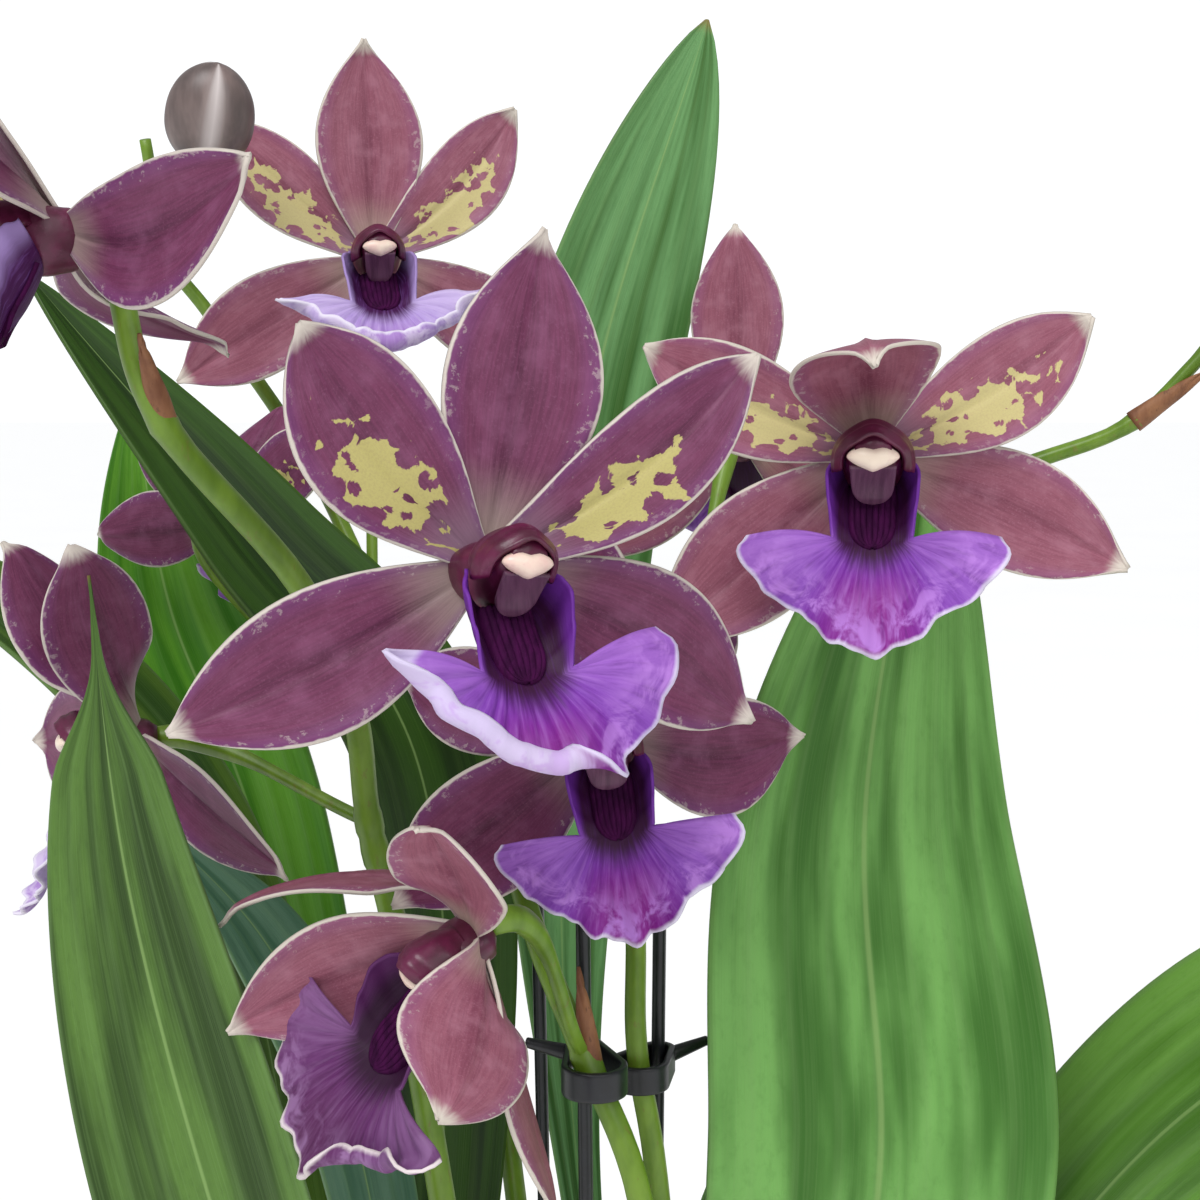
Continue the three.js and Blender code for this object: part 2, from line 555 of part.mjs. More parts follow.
// The bark fills the pot; angular chips stand out of its top, and it is hollowed for what stands in it.
function barkSolid() {
  const { height, top, rimOut, base, wall, floor } = POT;
  const inside = (z) => base - wall + ((top - rimOut - base) * z) / height - 2 * GAP;
  const profile = [[0, floor + GAP], [inside(floor) - 0.5, floor + GAP], [inside(BARK.level), BARK.level],
    [0, BARK.level]];
  const filling = turned(profile, 30);
  const next = random(7);
  const chips = [];
  for (let i = 0; i < BARK.chips; i++) {
    const distance = Math.sqrt((i + 0.5) / BARK.chips) * (inside(BARK.level) - 13);
    const angle = i * 2.39996 + next();
    const sizes = [BARK.chipLength, BARK.chipWidth, BARK.chipHeight];
    const chip = new THREE.BoxGeometry(...sizes.map((size) => size * (0.7 + 0.6 * next())));
    const corners = chip.getAttribute('position');
    for (let k = 0; k < corners.count; k++) {
      const shrink = corners.getZ(k) > 0 ? 0.75 : 1;
      corners.setXY(k, corners.getX(k) * shrink, corners.getY(k) * shrink);
    }
    chip.rotateX((next() - 0.5) * 0.9).rotateY((next() - 0.5) * 0.7).rotateZ(next() * Math.PI);
    const z = BARK.level + 0.4 + 1.6 * next();
    chip.translate(distance * Math.cos(angle), distance * Math.sin(angle), z);
    chips.push(solidOf(chip));
  }
  const sunk = [
    ...Object.values(BULBS).map((bulb) => bulbSolid(bulb, GAP)),
    ...Object.values(STAKES).map((stake) => stakeSolid(stake, GAP)),
    ...Object.values(SPIKES).map((spike) => stemSolid(spike, GAP)),
  ];
  return largest(sunk.reduce((bark, hollow) => bark.subtract(hollow), joined([filling, ...chips])));
}

const plant = new THREE.Group();

// Adds a solid to the plant, or to a part of it, as a named mesh.
function addMesh(name, solid, colour, roughness, parent = plant) {
  const material = new THREE.MeshStandardMaterial({ color: colour, roughness, metalness: 0 });
  const mesh = new THREE.Mesh(geometryOf(solid), material);
  mesh.name = name;
  parent.add(mesh);
  return mesh;
}

addMesh('pot', potSolid(), 0xb5714f, 0.85);
addMesh('bark', barkSolid(), 0x5a3b26, 0.95);
for (const [name, bulb] of Object.entries(BULBS)) {
  addMesh('pseudobulb_' + name, bulbSolid(bulb), 0x6f8f3a, 0.45);
}
for (const [name, leaf] of Object.entries(LEAVES)) addMesh(name, leafSolid(leaf), 0x4a8a3a, 0.5);
for (const name of Object.keys(SPIKES)) addMesh(name, spikeSolid(name), 0x7fa33a, 0.5);
for (const [name, flower] of Object.entries(FLOWERS)) {
  const { right, up, out } = flowerAxes(flower);
  const head = new THREE.Group();
  head.position.set(...flower.at);
  head.quaternion.setFromRotationMatrix(new THREE.Matrix4().makeBasis(right, up, out));
  plant.add(head);
  addMesh(name, tepalsSolid(flower), 0x8a4f72, 0.5, head);
  addMesh(name + '_lip', lipSolid(flower.lip), 0x7d3fc0, 0.5, head);
}
for (const [name, bud] of Object.entries(BUDS)) {
  const mesh = addMesh(name, budSolid(bud), 0x6d5f66, 0.5);
  mesh.position.set(...bud.at);
  mesh.quaternion.setFromUnitVectors(new THREE.Vector3(0, 0, 1), vector(bud.tip).normalize());
}
for (const [name, stake] of Object.entries(STAKES)) addMesh(name, stakeSolid(stake), 0x0c0d10, 0.4);
for (const [name, clip] of Object.entries(CLIPS)) {
  const { solid, at, turn } = clipSolid(clip);
  const mesh = addMesh(name, solid, 0x14161c, 0.45);
  mesh.position.copy(at);
  mesh.rotation.z = turn;
}

export default plant;
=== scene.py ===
"""A zygopetalum orchid in its clay pot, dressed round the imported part. Metres, +Z up; sizes are given in
millimetres and turned to metres by MM."""
import math
import random

import bpy
from mathutils import Matrix, Vector


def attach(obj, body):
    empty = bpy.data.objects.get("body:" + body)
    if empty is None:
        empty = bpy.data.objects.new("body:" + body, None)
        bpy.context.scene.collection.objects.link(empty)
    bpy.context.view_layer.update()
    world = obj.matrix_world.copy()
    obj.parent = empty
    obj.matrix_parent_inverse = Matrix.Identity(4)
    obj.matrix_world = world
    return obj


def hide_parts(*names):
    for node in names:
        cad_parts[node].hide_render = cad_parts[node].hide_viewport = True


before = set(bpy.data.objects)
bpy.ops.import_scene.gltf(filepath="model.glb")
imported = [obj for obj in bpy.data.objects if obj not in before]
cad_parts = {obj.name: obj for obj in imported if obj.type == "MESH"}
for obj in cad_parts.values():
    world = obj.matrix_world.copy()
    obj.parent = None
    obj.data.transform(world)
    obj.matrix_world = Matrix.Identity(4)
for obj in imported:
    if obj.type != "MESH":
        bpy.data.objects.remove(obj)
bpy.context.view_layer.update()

MM = 0.001
UP = Vector((0, 0, 1))

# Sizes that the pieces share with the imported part.
POT = {"height": 112, "top": 65, "base": 46, "wall": 5, "rim_height": 19, "rim_out": 3.5, "floor": 7}
DRAIN = {"count": 4, "ring": 26, "radius": 4.5}
BARK_LEVEL = 97
BULB = {"radius": 12.5, "height": 58, "foot": 9}
TEPAL_THICKNESS = 0.5
LIP_THICKNESS = 0.4
LEAF_THICKNESS = 0.7
CORE_THICKNESS = 0.5
PAPER_THICKNESS = 0.35
TIP_HALF = 0.25
STALK_GAP = 2.4
STALK_OVERLAP = 0.6
SEPAL = {"length": 37, "width": 17.0, "base": 3.6, "foot": 1.2, "tip": 1.0}
TOP_SEPAL = {"length": 34, "width": 17.5, "base": 3.6, "foot": 1.25, "tip": 1.1}
PETAL = {"length": 32.5, "width": 15.5, "base": 3.6, "foot": 1.25, "tip": 0.9}
CLIP = {"height": 4, "stake_hollow": 1.55, "stem_hollow": 3.4, "wall": 1, "tail": 6}
STAKE_RADIUS = 1.0

# How the surface of a tepal and of a leaf is shaped. The cup, the width of the groove and the rounding are
# shares of the half width, and the gutter is a slope that is added at a leaf's foot. The others are heights
# in millimetres, the pleats' for a leaf of the usual half width, and foot is half the width there.
TEPAL_START = 1.2
TEPAL_RELIEF = {"cup": 0.14, "ripple": 0.35, "groove": 0.45, "groove_width": 0.09, "hook": 1.4}
LEAF_RELIEF = {"foot": 3.0, "gutter": 0.55, "pleat": 0.4, "usual_half": 14, "rounding": 0.12}

# Bark chips: kinds that are modelled, chips that are laid, the room round a pseudobulb and the share of the
# chips left out of it.
CHIPS = {"kinds": 6, "count": 300, "room": 13, "left_out": 0.8}

# A short step along a curve; then, in radians, about a full turn and the turn from chip to chip that covers
# a round top evenly.
CURVE_STEP = 0.002
FULL_TURN = 6.28
GOLDEN_ANGLE = 2.39996

# The camera at the photo's place, the lights, the sky and the floor: places and sizes in metres, turns and
# angles in degrees. The sky is brighter where the camera sees it than where it lights the plant.
CAMERA = {"at": (0, -0.280, 0.348), "turn": (84, 0, 0), "angle": 35, "nearest": 0.01}
SUN = {"at": (-1, -1, 2), "turn": (38, 0, -28), "energy": 2.0, "angle": 35}
FILL = {"at": (0.5, -0.9, 0.9), "turn": (62, 0, 28), "energy": 3, "size": 0.8}
SKY = {"colour": (0.96, 0.98, 1, 1), "light": 0.42, "seen": 0.7}
FLOOR = {"size": 60, "glow": 0.14}

# Each pseudobulb: its foot in the bark, how far its top leans over, and its height.
BULBS = {
    "right": {"at": (28, 4), "lean": (4, -1), "height": 58},
    "back": {"at": (6, 30), "lean": (1, 3), "height": 60},
    "back_left": {"at": (-22, 28), "lean": (-3, 4), "height": 54},
    "left": {"at": (-33, 3), "lean": (-3, 2), "height": 56},
    "front_left": {"at": (-17, -21), "lean": (-3, -4), "height": 52},
    "front_right": {"at": (15, -27), "lean": (3, -3), "height": 42},
}

# Each leaf: midrib points from foot to tip, width, place of its widest part, the way its face looks, the
# fold along the midrib, the wave of its margins, how many pleats it has to each side, its dark and its fresh
# green, and how blunt its ends are. Some have a light green of their own, or a tip drawn to a point.
LEAVES = {
    "leaf_tall_right": {
        "rib": [(31, 1.6, 147.2), (37, -8, 200), (41, -12, 240), (38, -12, 290), (46, -12, 346)],
        "width": 50, "peak": 0.5, "face": (-0.05, -1, 0.1), "fold": 0.10, "wave": 1.6, "pleats": 4,
        "deep": (56, 108, 30), "fresh": (120, 178, 90), "blunt": 0.78},
    "leaf_tall_back": {
        "rib": [(6, 31.8, 148.5), (-4, 45, 212), (-7, 55, 270), (-2, 61, 345), (19, 66, 415)],
        "width": 29, "peak": 0.74, "face": (0.3, -1, 0.1), "fold": 0.18, "wave": 0.8, "pleats": 3,
        "deep": (46, 94, 26), "fresh": (112, 164, 102), "blunt": 0.78},
    "leaf_arching_right": {
        "rib": [(34.4, 4, 146.6), (62, 0, 206), (88, -24, 254), (120, -50, 276), (164, -66, 248)],
        "width": 42, "peak": 0.56, "face": (-0.5, -0.5, 0.9), "fold": 0.16, "wave": 1.2, "pleats": 3,
        "deep": (66, 112, 26), "fresh": (104, 152, 62), "blunt": 0.78},
    # This leaf's dark and fresh greens are darkened as painted shade, for a leaf that lies in shadow.
    "leaf_front_left": {
        "rib": [(-20.6, -26.8, 141.5), (-38.4, -38, 200), (-51.2, -43, 248), (-60.4, -42, 288),
                (-64.5, -41, 326)],
        "width": 29, "peak": 0.5, "face": (-0.25, -1, 0.1), "fold": 0.18, "wave": 0.8, "pleats": 3,
        "deep": (40, 66, 16), "fresh": (86, 122, 50), "blunt": 1.1, "point": 0.8},
    # This leaf's dark and fresh greens are darkened as painted shade, for the shaded half of its fold.
    "leaf_long_left": {
        "rib": [(-34, 4, 144.8), (-25, 9, 226), (-28, 8, 292), (-54, 13, 327), (-90, 21, 368)],
        "width": 25, "peak": 0.56, "face": (0.5, -0.8, 0.75), "fold": 0.30, "wave": 0.4, "pleats": 2,
        "deep": (18, 44, 2), "fresh": (42, 76, 10), "light": (84, 116, 44), "blunt": 0.9},
    "leaf_back_left": {
        "rib": [(-25, 30, 142.9), (-46, 44, 214), (-62, 52, 275), (-76, 54, 312), (-82, 56, 350)],
        "width": 27, "peak": 0.6, "face": (0.1, -1, 0.1), "fold": 0.20, "wave": 0.6, "pleats": 3,
        "deep": (52, 116, 10), "fresh": (92, 152, 36), "blunt": 0.9},
    "leaf_low_left": {
        "rib": [(-37.5, 6.5, 144.5), (-50, 21, 218), (-66, 30, 277), (-98, 30, 314), (-140, 28, 330)],
        "width": 22, "peak": 0.6, "face": (0.3, -0.3, 0.95), "fold": 0.18, "wave": 0.8, "pleats": 2,
        "deep": (40, 74, 12), "fresh": (80, 112, 34), "blunt": 0.9},
    "leaf_slender_left": {
        "rib": [(-19.2, -22.4, 140.5), (-30, -11, 206), (-38, -6, 244), (-50, -4, 268), (-66, -4, 286)],
        "width": 15, "peak": 0.56, "face": (0.5, -0.8, 0.6), "fold": 0.24, "wave": 0.3, "pleats": 2,
        "deep": (66, 108, 84), "fresh": (98, 136, 112), "blunt": 0.9},
    "leaf_back_right": {
        "rib": [(8.6, 35, 148.7), (30, 60, 190), (54, 86, 208), (86, 108, 204), (118, 122, 176)],
        "width": 38, "peak": 0.56, "face": (-0.4, -0.4, 0.9), "fold": 0.16, "wave": 1.0, "pleats": 3,
        "deep": (58, 100, 38), "fresh": (104, 146, 78), "blunt": 0.8},
    "leaf_back_drooping": {
        "rib": [(-25.6, 34, 142.6), (-42, 56, 184), (-62, 74, 214), (-86, 100, 212), (-110, 122, 184)],
        "width": 36, "peak": 0.56, "face": (0.4, -0.4, 0.9), "fold": 0.16, "wave": 1.0, "pleats": 3,
        "deep": (54, 96, 34), "fresh": (98, 140, 70), "blunt": 0.8},
}

# Each spike: its radius at foot and top, and its stem's points from the bark up.
SPIKES = {
    "spike_left": {"radius": (2.1, 1.45), "stem": [
        (-9, -5, 78), (-9, -5, 106), (-13, -10, 165), (-21, -19, 225), (-28, -20, 271), (-32, -21, 290),
        (-33, -28, 307), (-38, -41, 325), (-51.5, -54, 345), (-56, -54, 359), (-58, -48, 371)]},
    "spike_middle": {"radius": (1.9, 1.4), "stem": [
        (5, -9, 78), (5, -11, 106), (8, -28, 160), (8, -41, 212), (5.3, -40, 243.5), (-2.1, -36, 262),
        (-8.3, -31.5, 276), (-12.6, -28, 292), (-12.7, -30, 310), (-12.2, -34, 320)]},
    "spike_right": {"radius": (1.9, 0.95), "stem": [
        (12, 6, 78), (12, 5, 106), (13.5, -8, 170), (8.6, -13, 232), (5.5, -12.5, 253), (5.2, -11, 267),
        (6, -6.5, 290), (13.5, 3, 312), (31, 11, 325), (63, 10.5, 337.5), (79, 7, 344), (89, 5, 354),
        (100, 6, 366)]},
    "spike_back": {"radius": (2.0, 1.0), "stem": [
        (-9, 9, 78), (-9, 10, 106), (-10, 12, 170), (-14, 14, 225), (-22, 24, 262), (-33, 40, 300),
        (-50, 56, 335), (-69, 64, 362), (-77, 63, 374), (-79, 57, 393)]},
}


def blade(angle, foot, tip, twist=0, long=1.0, wide=1.0, sweep=0.0, narrow=1.0, plain=False):
    """A tepal: its angle round from the top, its lean forward at foot and tip, its twist, its length and
    width beside its kind's, how far its middle bends clockwise, how much its foot narrows, and whether a
    petal has no blotch."""
    return {"angle": angle, "foot": foot, "tip": tip, "twist": twist, "long": long, "wide": wide,
            "sweep": sweep, "narrow": narrow, "plain": plain}


def bloom(at, turn, tilt, roll, size, source, tepals, lip=1.0, curl=(0, 0), hinge=0, swing=0, yaw=0,
          shift=(0, 0, 0), spread=(94, 94), core=1.0, shade="plum", fan="violet"):
    """A flower: where its tepals meet, its turn to the right of -Y, tilt up and roll clockwise, its size,
    the place on its spike that its stalk leaves, and its tepals in the order left sepal, left petal, top
    sepal, right petal, right sepal. Then the lip's size, how its margin curls to the left and right, how it
    hinges down and swings to the right, how column and lip turn to the right, how far the lip is set out,
    how far its fan opens to the left and right, the column's size beside the lip's, and the shades of
    tepals and lip."""
    return {"at": at, "turn": turn, "tilt": tilt, "roll": roll, "size": size, "from": source,
            "tepals": tepals, "lip": lip, "curl": curl, "hinge": hinge, "swing": swing, "yaw": yaw,
            "shift": shift, "spread": spread, "core": core, "shade": shade, "fan": fan}


FLOWERS = {
    "flower_main": bloom(
        (-13.0, -67.8, 329.4), 18, 9, 4, 1.1, ("spike_middle", 0.99),
        [blade(-119.5, 0, -6, long=0.93, wide=0.84, sweep=-0.8),
         blade(-42, 14, 2, long=0.91, wide=0.97, sweep=-1.6),
         blade(8, 10, -4, wide=0.93, sweep=0.4),
         blade(50, 14, 0, long=1.08, wide=0.74, sweep=2.0),
         blade(114, 0, -36, long=1.02, wide=0.86, sweep=-1.5)],
        lip=1.02, curl=(1.0, 0.0), swing=4.5, yaw=11, shift=(0.2, -0.3, 0), spread=(103, 107), core=0.85,
        fan="rolled"),
    "flower_right": bloom(
        (36, -28.4, 340.8), -4, 2, 0, 0.99, ("spike_right", 0.64),
        [blade(-131, 4, 14, wide=0.95), blade(-65, 14, -4, wide=0.84, sweep=-1.2),
         blade(-10.5, 26, 114, wide=1.08, narrow=0.95), blade(57, 14, -2, long=0.98, wide=0.88, sweep=1.4),
         blade(114, 4, -12, long=0.97, wide=0.88, sweep=-0.8)],
        lip=0.95, yaw=-4, shade="rose"),
    "flower_back": bloom(
        (-39, 53, 372), 12, 10, -2, 1.06, ("spike_back", 0.6),
        [blade(-118, 0, -34, wide=0.9), blade(-46, 4, -8, wide=0.84, sweep=-1.0),
         blade(0, 12, 4, wide=0.96), blade(46, 14, 4, wide=0.84, sweep=2.2),
         blade(120, 0, -24, wide=0.85)],
        curl=(0.7, 0.7), hinge=-10, core=0.82, shade="rose", fan="pale"),
    "flower_top_left": bloom(
        (-61.3, -58.8, 367), -66, -4, -20, 1.0, ("spike_left", 0.97),
        [blade(-98, -20, -62, twist=58), blade(-50, 34, 40), blade(0, 30, 24),
         blade(48, 44, 56, plain=True), blade(103, -12, -34, wide=0.86, sweep=4.6)],
        curl=(0.2, 0.2), core=0.85, fan="pale"),
    "flower_left": bloom(
        (-66.2, -8, 299.6), -76, 0, 0, 0.98, ("spike_left", 0.5),
        [blade(-100, 30, 20), blade(-50, 30, 26, plain=True), blade(-10, 36, 30, twist=50),
         blade(27, 22, 8, twist=66, plain=True), blade(118, -14, -50, wide=0.8, sweep=-2.5)],
        curl=(0.2, 0.2), core=0.85, fan="pale"),
    "flower_below": bloom(
        (0.4, -38, 305), 0, 2, -10, 0.96, ("spike_right", 0.52),
        [blade(-120, 4, -24), blade(-66, -6, -36, long=0.9, wide=0.9, plain=True), blade(-4, 10, -20),
         blade(52, -28, -58), blade(104, -12, -48, long=0.83, wide=0.96, sweep=2.6)],
        lip=0.87, curl=(0.0, 0.2), hinge=15, swing=-2),
    "flower_low": bloom(
        (-14.8, -60.4, 285.1), -60, -25, 25, 0.98, ("spike_middle", 0.555),
        [blade(-125, 30, 64, wide=0.92), blade(-103, -18, 84, twist=62, long=1.34, wide=0.62, plain=True),
         blade(0, 4, 10, twist=-24, long=0.62, wide=0.9),
         blade(100, 34, 58, twist=-50, long=0.72, wide=1.16, plain=True),
         blade(149, 10, 12, twist=-25, wide=0.95)],
        lip=1.06, curl=(0.0, 1.0), hinge=-26, swing=-5, shift=(-1.5, -4.5, 2.5), core=0.66, shade="rose",
        fan="dusk"),
    "flower_behind_right": bloom(
        (21.9, 23, 343.4), 168, 4, 2, 0.92, ("spike_right", 0.58),
        [blade(-124, 10, -6), blade(-96, 40, 40), blade(0, 12, 4, wide=0.9), blade(96, 40, 40),
         blade(124, 10, -6)],
        lip=0.95, curl=(0.2, 0.3), shade="rose"),
    "flower_behind_left": bloom(
        (-61.7, 30, 328), 150, 4, 0, 0.74, ("spike_back", 0.5),
        [blade(-110, 8, -10), blade(-54, 14, -4), blade(0, 42, 50), blade(54, 14, -4),
         blade(96, 8, -10)],
        lip=0.8, curl=(0.3, 0.2)),
    "flower_far_right": bloom(
        (112, -16, 356), 48, -4, 4, 0.95, ("spike_right", 0.93),
        [blade(-118, 8, -12), blade(-52, 14, 0), blade(0, 12, 30), blade(50, 14, 0), blade(120, 8, -12)],
        curl=(0.0, 0.3)),
}

# Each bud: its middle, the way its tip points, its length and radius, and where its stalk leaves its spike.
BUDS = {
    "bud_back": {"at": (-63.4, 36, 394), "tip": (0.25, -0.4, 0.88), "length": 17.5, "radius": 7.6,
                 "from": ("spike_back", 0.97)},
    "bud_right": {"at": (106, 12, 379), "tip": (0.4, 0.2, 0.9), "length": 18, "radius": 5.2,
                  "from": ("spike_right", 0.98)},
}

# Each dry bract: its spike, its place along that, the way it points and its length.
BRACTS = [
    ("spike_left", 0.47, (0.2, -0.6, 1), 15), ("spike_left", 0.8, (0.9, -0.3, 0.2), 12),
    ("spike_left", 0.22, (-0.6, 0.3, 1), 17), ("spike_middle", 0.25, (0.6, 0.1, 1), 17),
    ("spike_middle", 0.54, (0.9, -0.5, 0.3), 14), ("spike_right", 0.2, (0.2, 0.7, 1), 17),
    ("spike_right", 0.84, (0.75, -0.4, 0.8), 14), ("spike_back", 0.2, (-0.5, 0.4, 1), 17),
    ("spike_back", 0.55, (-0.2, 0.7, 0.6), 14), ("spike_back", 0.9, (-0.8, -0.2, 0.6), 12),
]

# Each stake: its foot and its top.
STAKES = {
    "stake_middle": ((0, -17, 24), (-2.4, -30, 290)),
    "stake_right": ((7, 0, 24), (8.8, -8, 282)),
    "stake_back": ((-5, 4, 24), (-10, 7, 290)),
}

# Each clip: what it ties together, its height above the pot's underside and the way its finger points.
CLIPS = {
    "clip_middle": {"stake": "stake_middle", "spike": "spike_middle", "z": 259, "tail": 180},
    "clip_right": {"stake": "stake_right", "spike": "spike_right", "z": 251, "tail": 20},
    "clip_right_low": {"stake": "stake_right", "spike": "spike_right", "z": 178, "tail": 0},
    "clip_back": {"stake": "stake_back", "spike": "spike_back", "z": 190, "tail": 170},
}


def smooth(value, low, high):
    """0 below low, 1 above high, and smooth between them."""
    place = min(max((value - low) / (high - low), 0), 1)
    return place * place * (3 - 2 * place)


def table(rows, place):
    """A value read from rows of (place, value), smooth between them."""
    for (low, first), (high, second) in zip(rows, rows[1:]):
        if place <= high:
            return first + (second - first) * smooth(place, low, high)
    return rows[-1][1]


def outline(place, foot, tip):
    """Half width of a blade as a share of its greatest, from its foot (0) to its tip (1)."""
    peak = foot / (foot + tip)
    return (place ** foot * (1 - place) ** tip) / (peak ** foot * (1 - peak) ** tip)


def curve_at(points, place):
    """A point of the smooth curve through points, in millimetres, at a place from 0 to 1."""
    points = [Vector(point) for point in points]
    points = [points[0] * 2 - points[1], *points, points[-1] * 2 - points[-2]]
    reach = min(max(place, 0), 1) * (len(points) - 3)
    index = min(int(reach), len(points) - 4)
    t = reach - index
    before, start, end, after = points[index:index + 4]
    leave, arrive = (end - before) / 2, (after - start) / 2
    return (start + leave * t + (end * 3 - start * 3 - leave * 2 - arrive) * t ** 2
            + (start * 2 - end * 2 + leave + arrive) * t ** 3)


def direction_at(points, place):
    """The way that the smooth curve through points runs at a place."""
    before, after = max(place - CURVE_STEP, 0), min(place + CURVE_STEP, 1)
    return (curve_at(points, after) - curve_at(points, before)).normalized()


def deselect():
    """Leaves edit mode and selects nothing."""
    if bpy.context.object and bpy.context.object.mode != "OBJECT":
        bpy.ops.object.mode_set(mode="OBJECT")
    bpy.ops.object.select_all(action="DESELECT")


def grid(place, across, along):
    """A grid laid by place(s, t), with s from 0 at its foot to 1 at its tip and t from -1 to 1 across."""
    deselect()
    bpy.ops.mesh.primitive_grid_add(x_subdivisions=across, y_subdivisions=along, size=1)
    piece = bpy.context.object
    for vertex in piece.data.vertices:
        vertex.co = place(min(max(vertex.co.y + 0.5, 0), 1), vertex.co.x * 2) * MM
    return piece


def pick(piece, kind, chosen):
    """Selects the edges or faces of a piece that pass a test, and stays in edit mode."""
    bpy.ops.object.mode_set(mode="EDIT")
    bpy.ops.mesh.select_mode(type=kind)
    bpy.ops.mesh.select_all(action="DESELECT")
    bpy.ops.object.mode_set(mode="OBJECT")
    for part in piece.data.edges if kind == "EDGE" else piece.data.polygons:
        part.select = chosen(part)
    bpy.ops.object.mode_set(mode="EDIT")


def modify(piece, kind, **settings):
    """Puts a modifier on a piece and applies it."""
    bpy.context.view_layer.objects.active = piece
    piece.select_set(True)
    change = piece.modifiers.new(kind.lower(), kind)
    for key, value in settings.items():
        setattr(change, key, value)
    bpy.ops.object.modifier_apply(modifier=change.name)


def tube(place, sides, rings):
    """A cylinder cut into rings and laid by place(s, angle), with s from 0 to 1 along it."""
    deselect()
    bpy.ops.mesh.primitive_cylinder_add(vertices=sides, radius=1, depth=1)
    piece = bpy.context.object

    def upright(edge):
        corners = piece.data.vertices
        first, second = edge.vertices
        return abs(corners[first].co.z - corners[second].co.z) > 0.5

    pick(piece, "EDGE", upright)
    bpy.ops.mesh.subdivide(number_cuts=rings - 1)
    bpy.ops.object.mode_set(mode="OBJECT")
    for vertex in piece.data.vertices:
        x, y, z = vertex.co
        vertex.co = place(min(max(z + 0.5, 0), 1), math.atan2(y, x)) * MM
    return piece


def rod(points, radius_at, sides, rings, curve=curve_at, ridge=0.0):
    """A round rod along a curve, with its radius given by a function of the place along it."""
    frames = []
    up = Vector((0.3, 0.9, 0.2)).normalized()
    for k in range(rings + 1):
        place = k / rings
        low, high = max(place - CURVE_STEP, 0), min(place + CURVE_STEP, 1)
        along = (curve(points, high) - curve(points, low)).normalized()
        right = up.cross(along).normalized()
        up = along.cross(right).normalized()
        frames.append((curve(points, place), right, up))

    def lay(s, angle):
        middle, right, upward = frames[round(s * rings)]
        radius = radius_at(s) * (1 + ridge * math.cos(5 * angle))
        return middle + right * (radius * math.cos(angle)) + upward * (radius * math.sin(angle))

    return tube(lay, sides, rings)


def thicken(piece, thickness, rim=True):
    """Gives a sheet its thickness; its back takes the next material and its rim the one after."""
    modify(piece, "SOLIDIFY", thickness=thickness * MM, offset=0, material_offset=1,
           material_offset_rim=2 if rim else 1)


def seed(piece, value):
    """Keeps a number on a piece, so that its pattern differs from its neighbours'."""
    numbers = piece.data.attributes.new("seed", "FLOAT", "POINT")
    numbers.data.foreach_set("value", [value] * len(piece.data.vertices))


def joined(pieces, name, smooth_faces=True):
    """Joins pieces into one object with a name."""
    deselect()
    for piece in pieces:
        piece.select_set(True)
    bpy.context.view_layer.objects.active = pieces[0]
    if len(pieces) > 1:
        bpy.ops.object.join()
    if smooth_faces:
        bpy.ops.object.shade_smooth()
    whole = bpy.context.object
    whole.name = name
    whole.data.name = name
    return whole


def paint(piece, *materials):
    """Gives a piece its materials: its face's, then its back's and its rim's where it is a sheet."""
    piece.data.materials.clear()
    for material in materials:
        piece.data.materials.append(material)
    return piece


def settle(piece, slot, *nodes):
    """The piece takes its place in the part: its body and the nodes it stands for. Its slot, meant for its
    finish, is not used.
    """
    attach(piece, "root")
    if nodes:
        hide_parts(*nodes)


def tone(red, green, blue):
    """A colour as it looks on a screen, from 0 to 255, as the numbers that a shader takes."""
    def linear(value):
        share = value / 255
        return share / 12.92 if share <= 0.04045 else ((share + 0.055) / 1.055) ** 2.4
    return linear(red), linear(green), linear(blue), 1


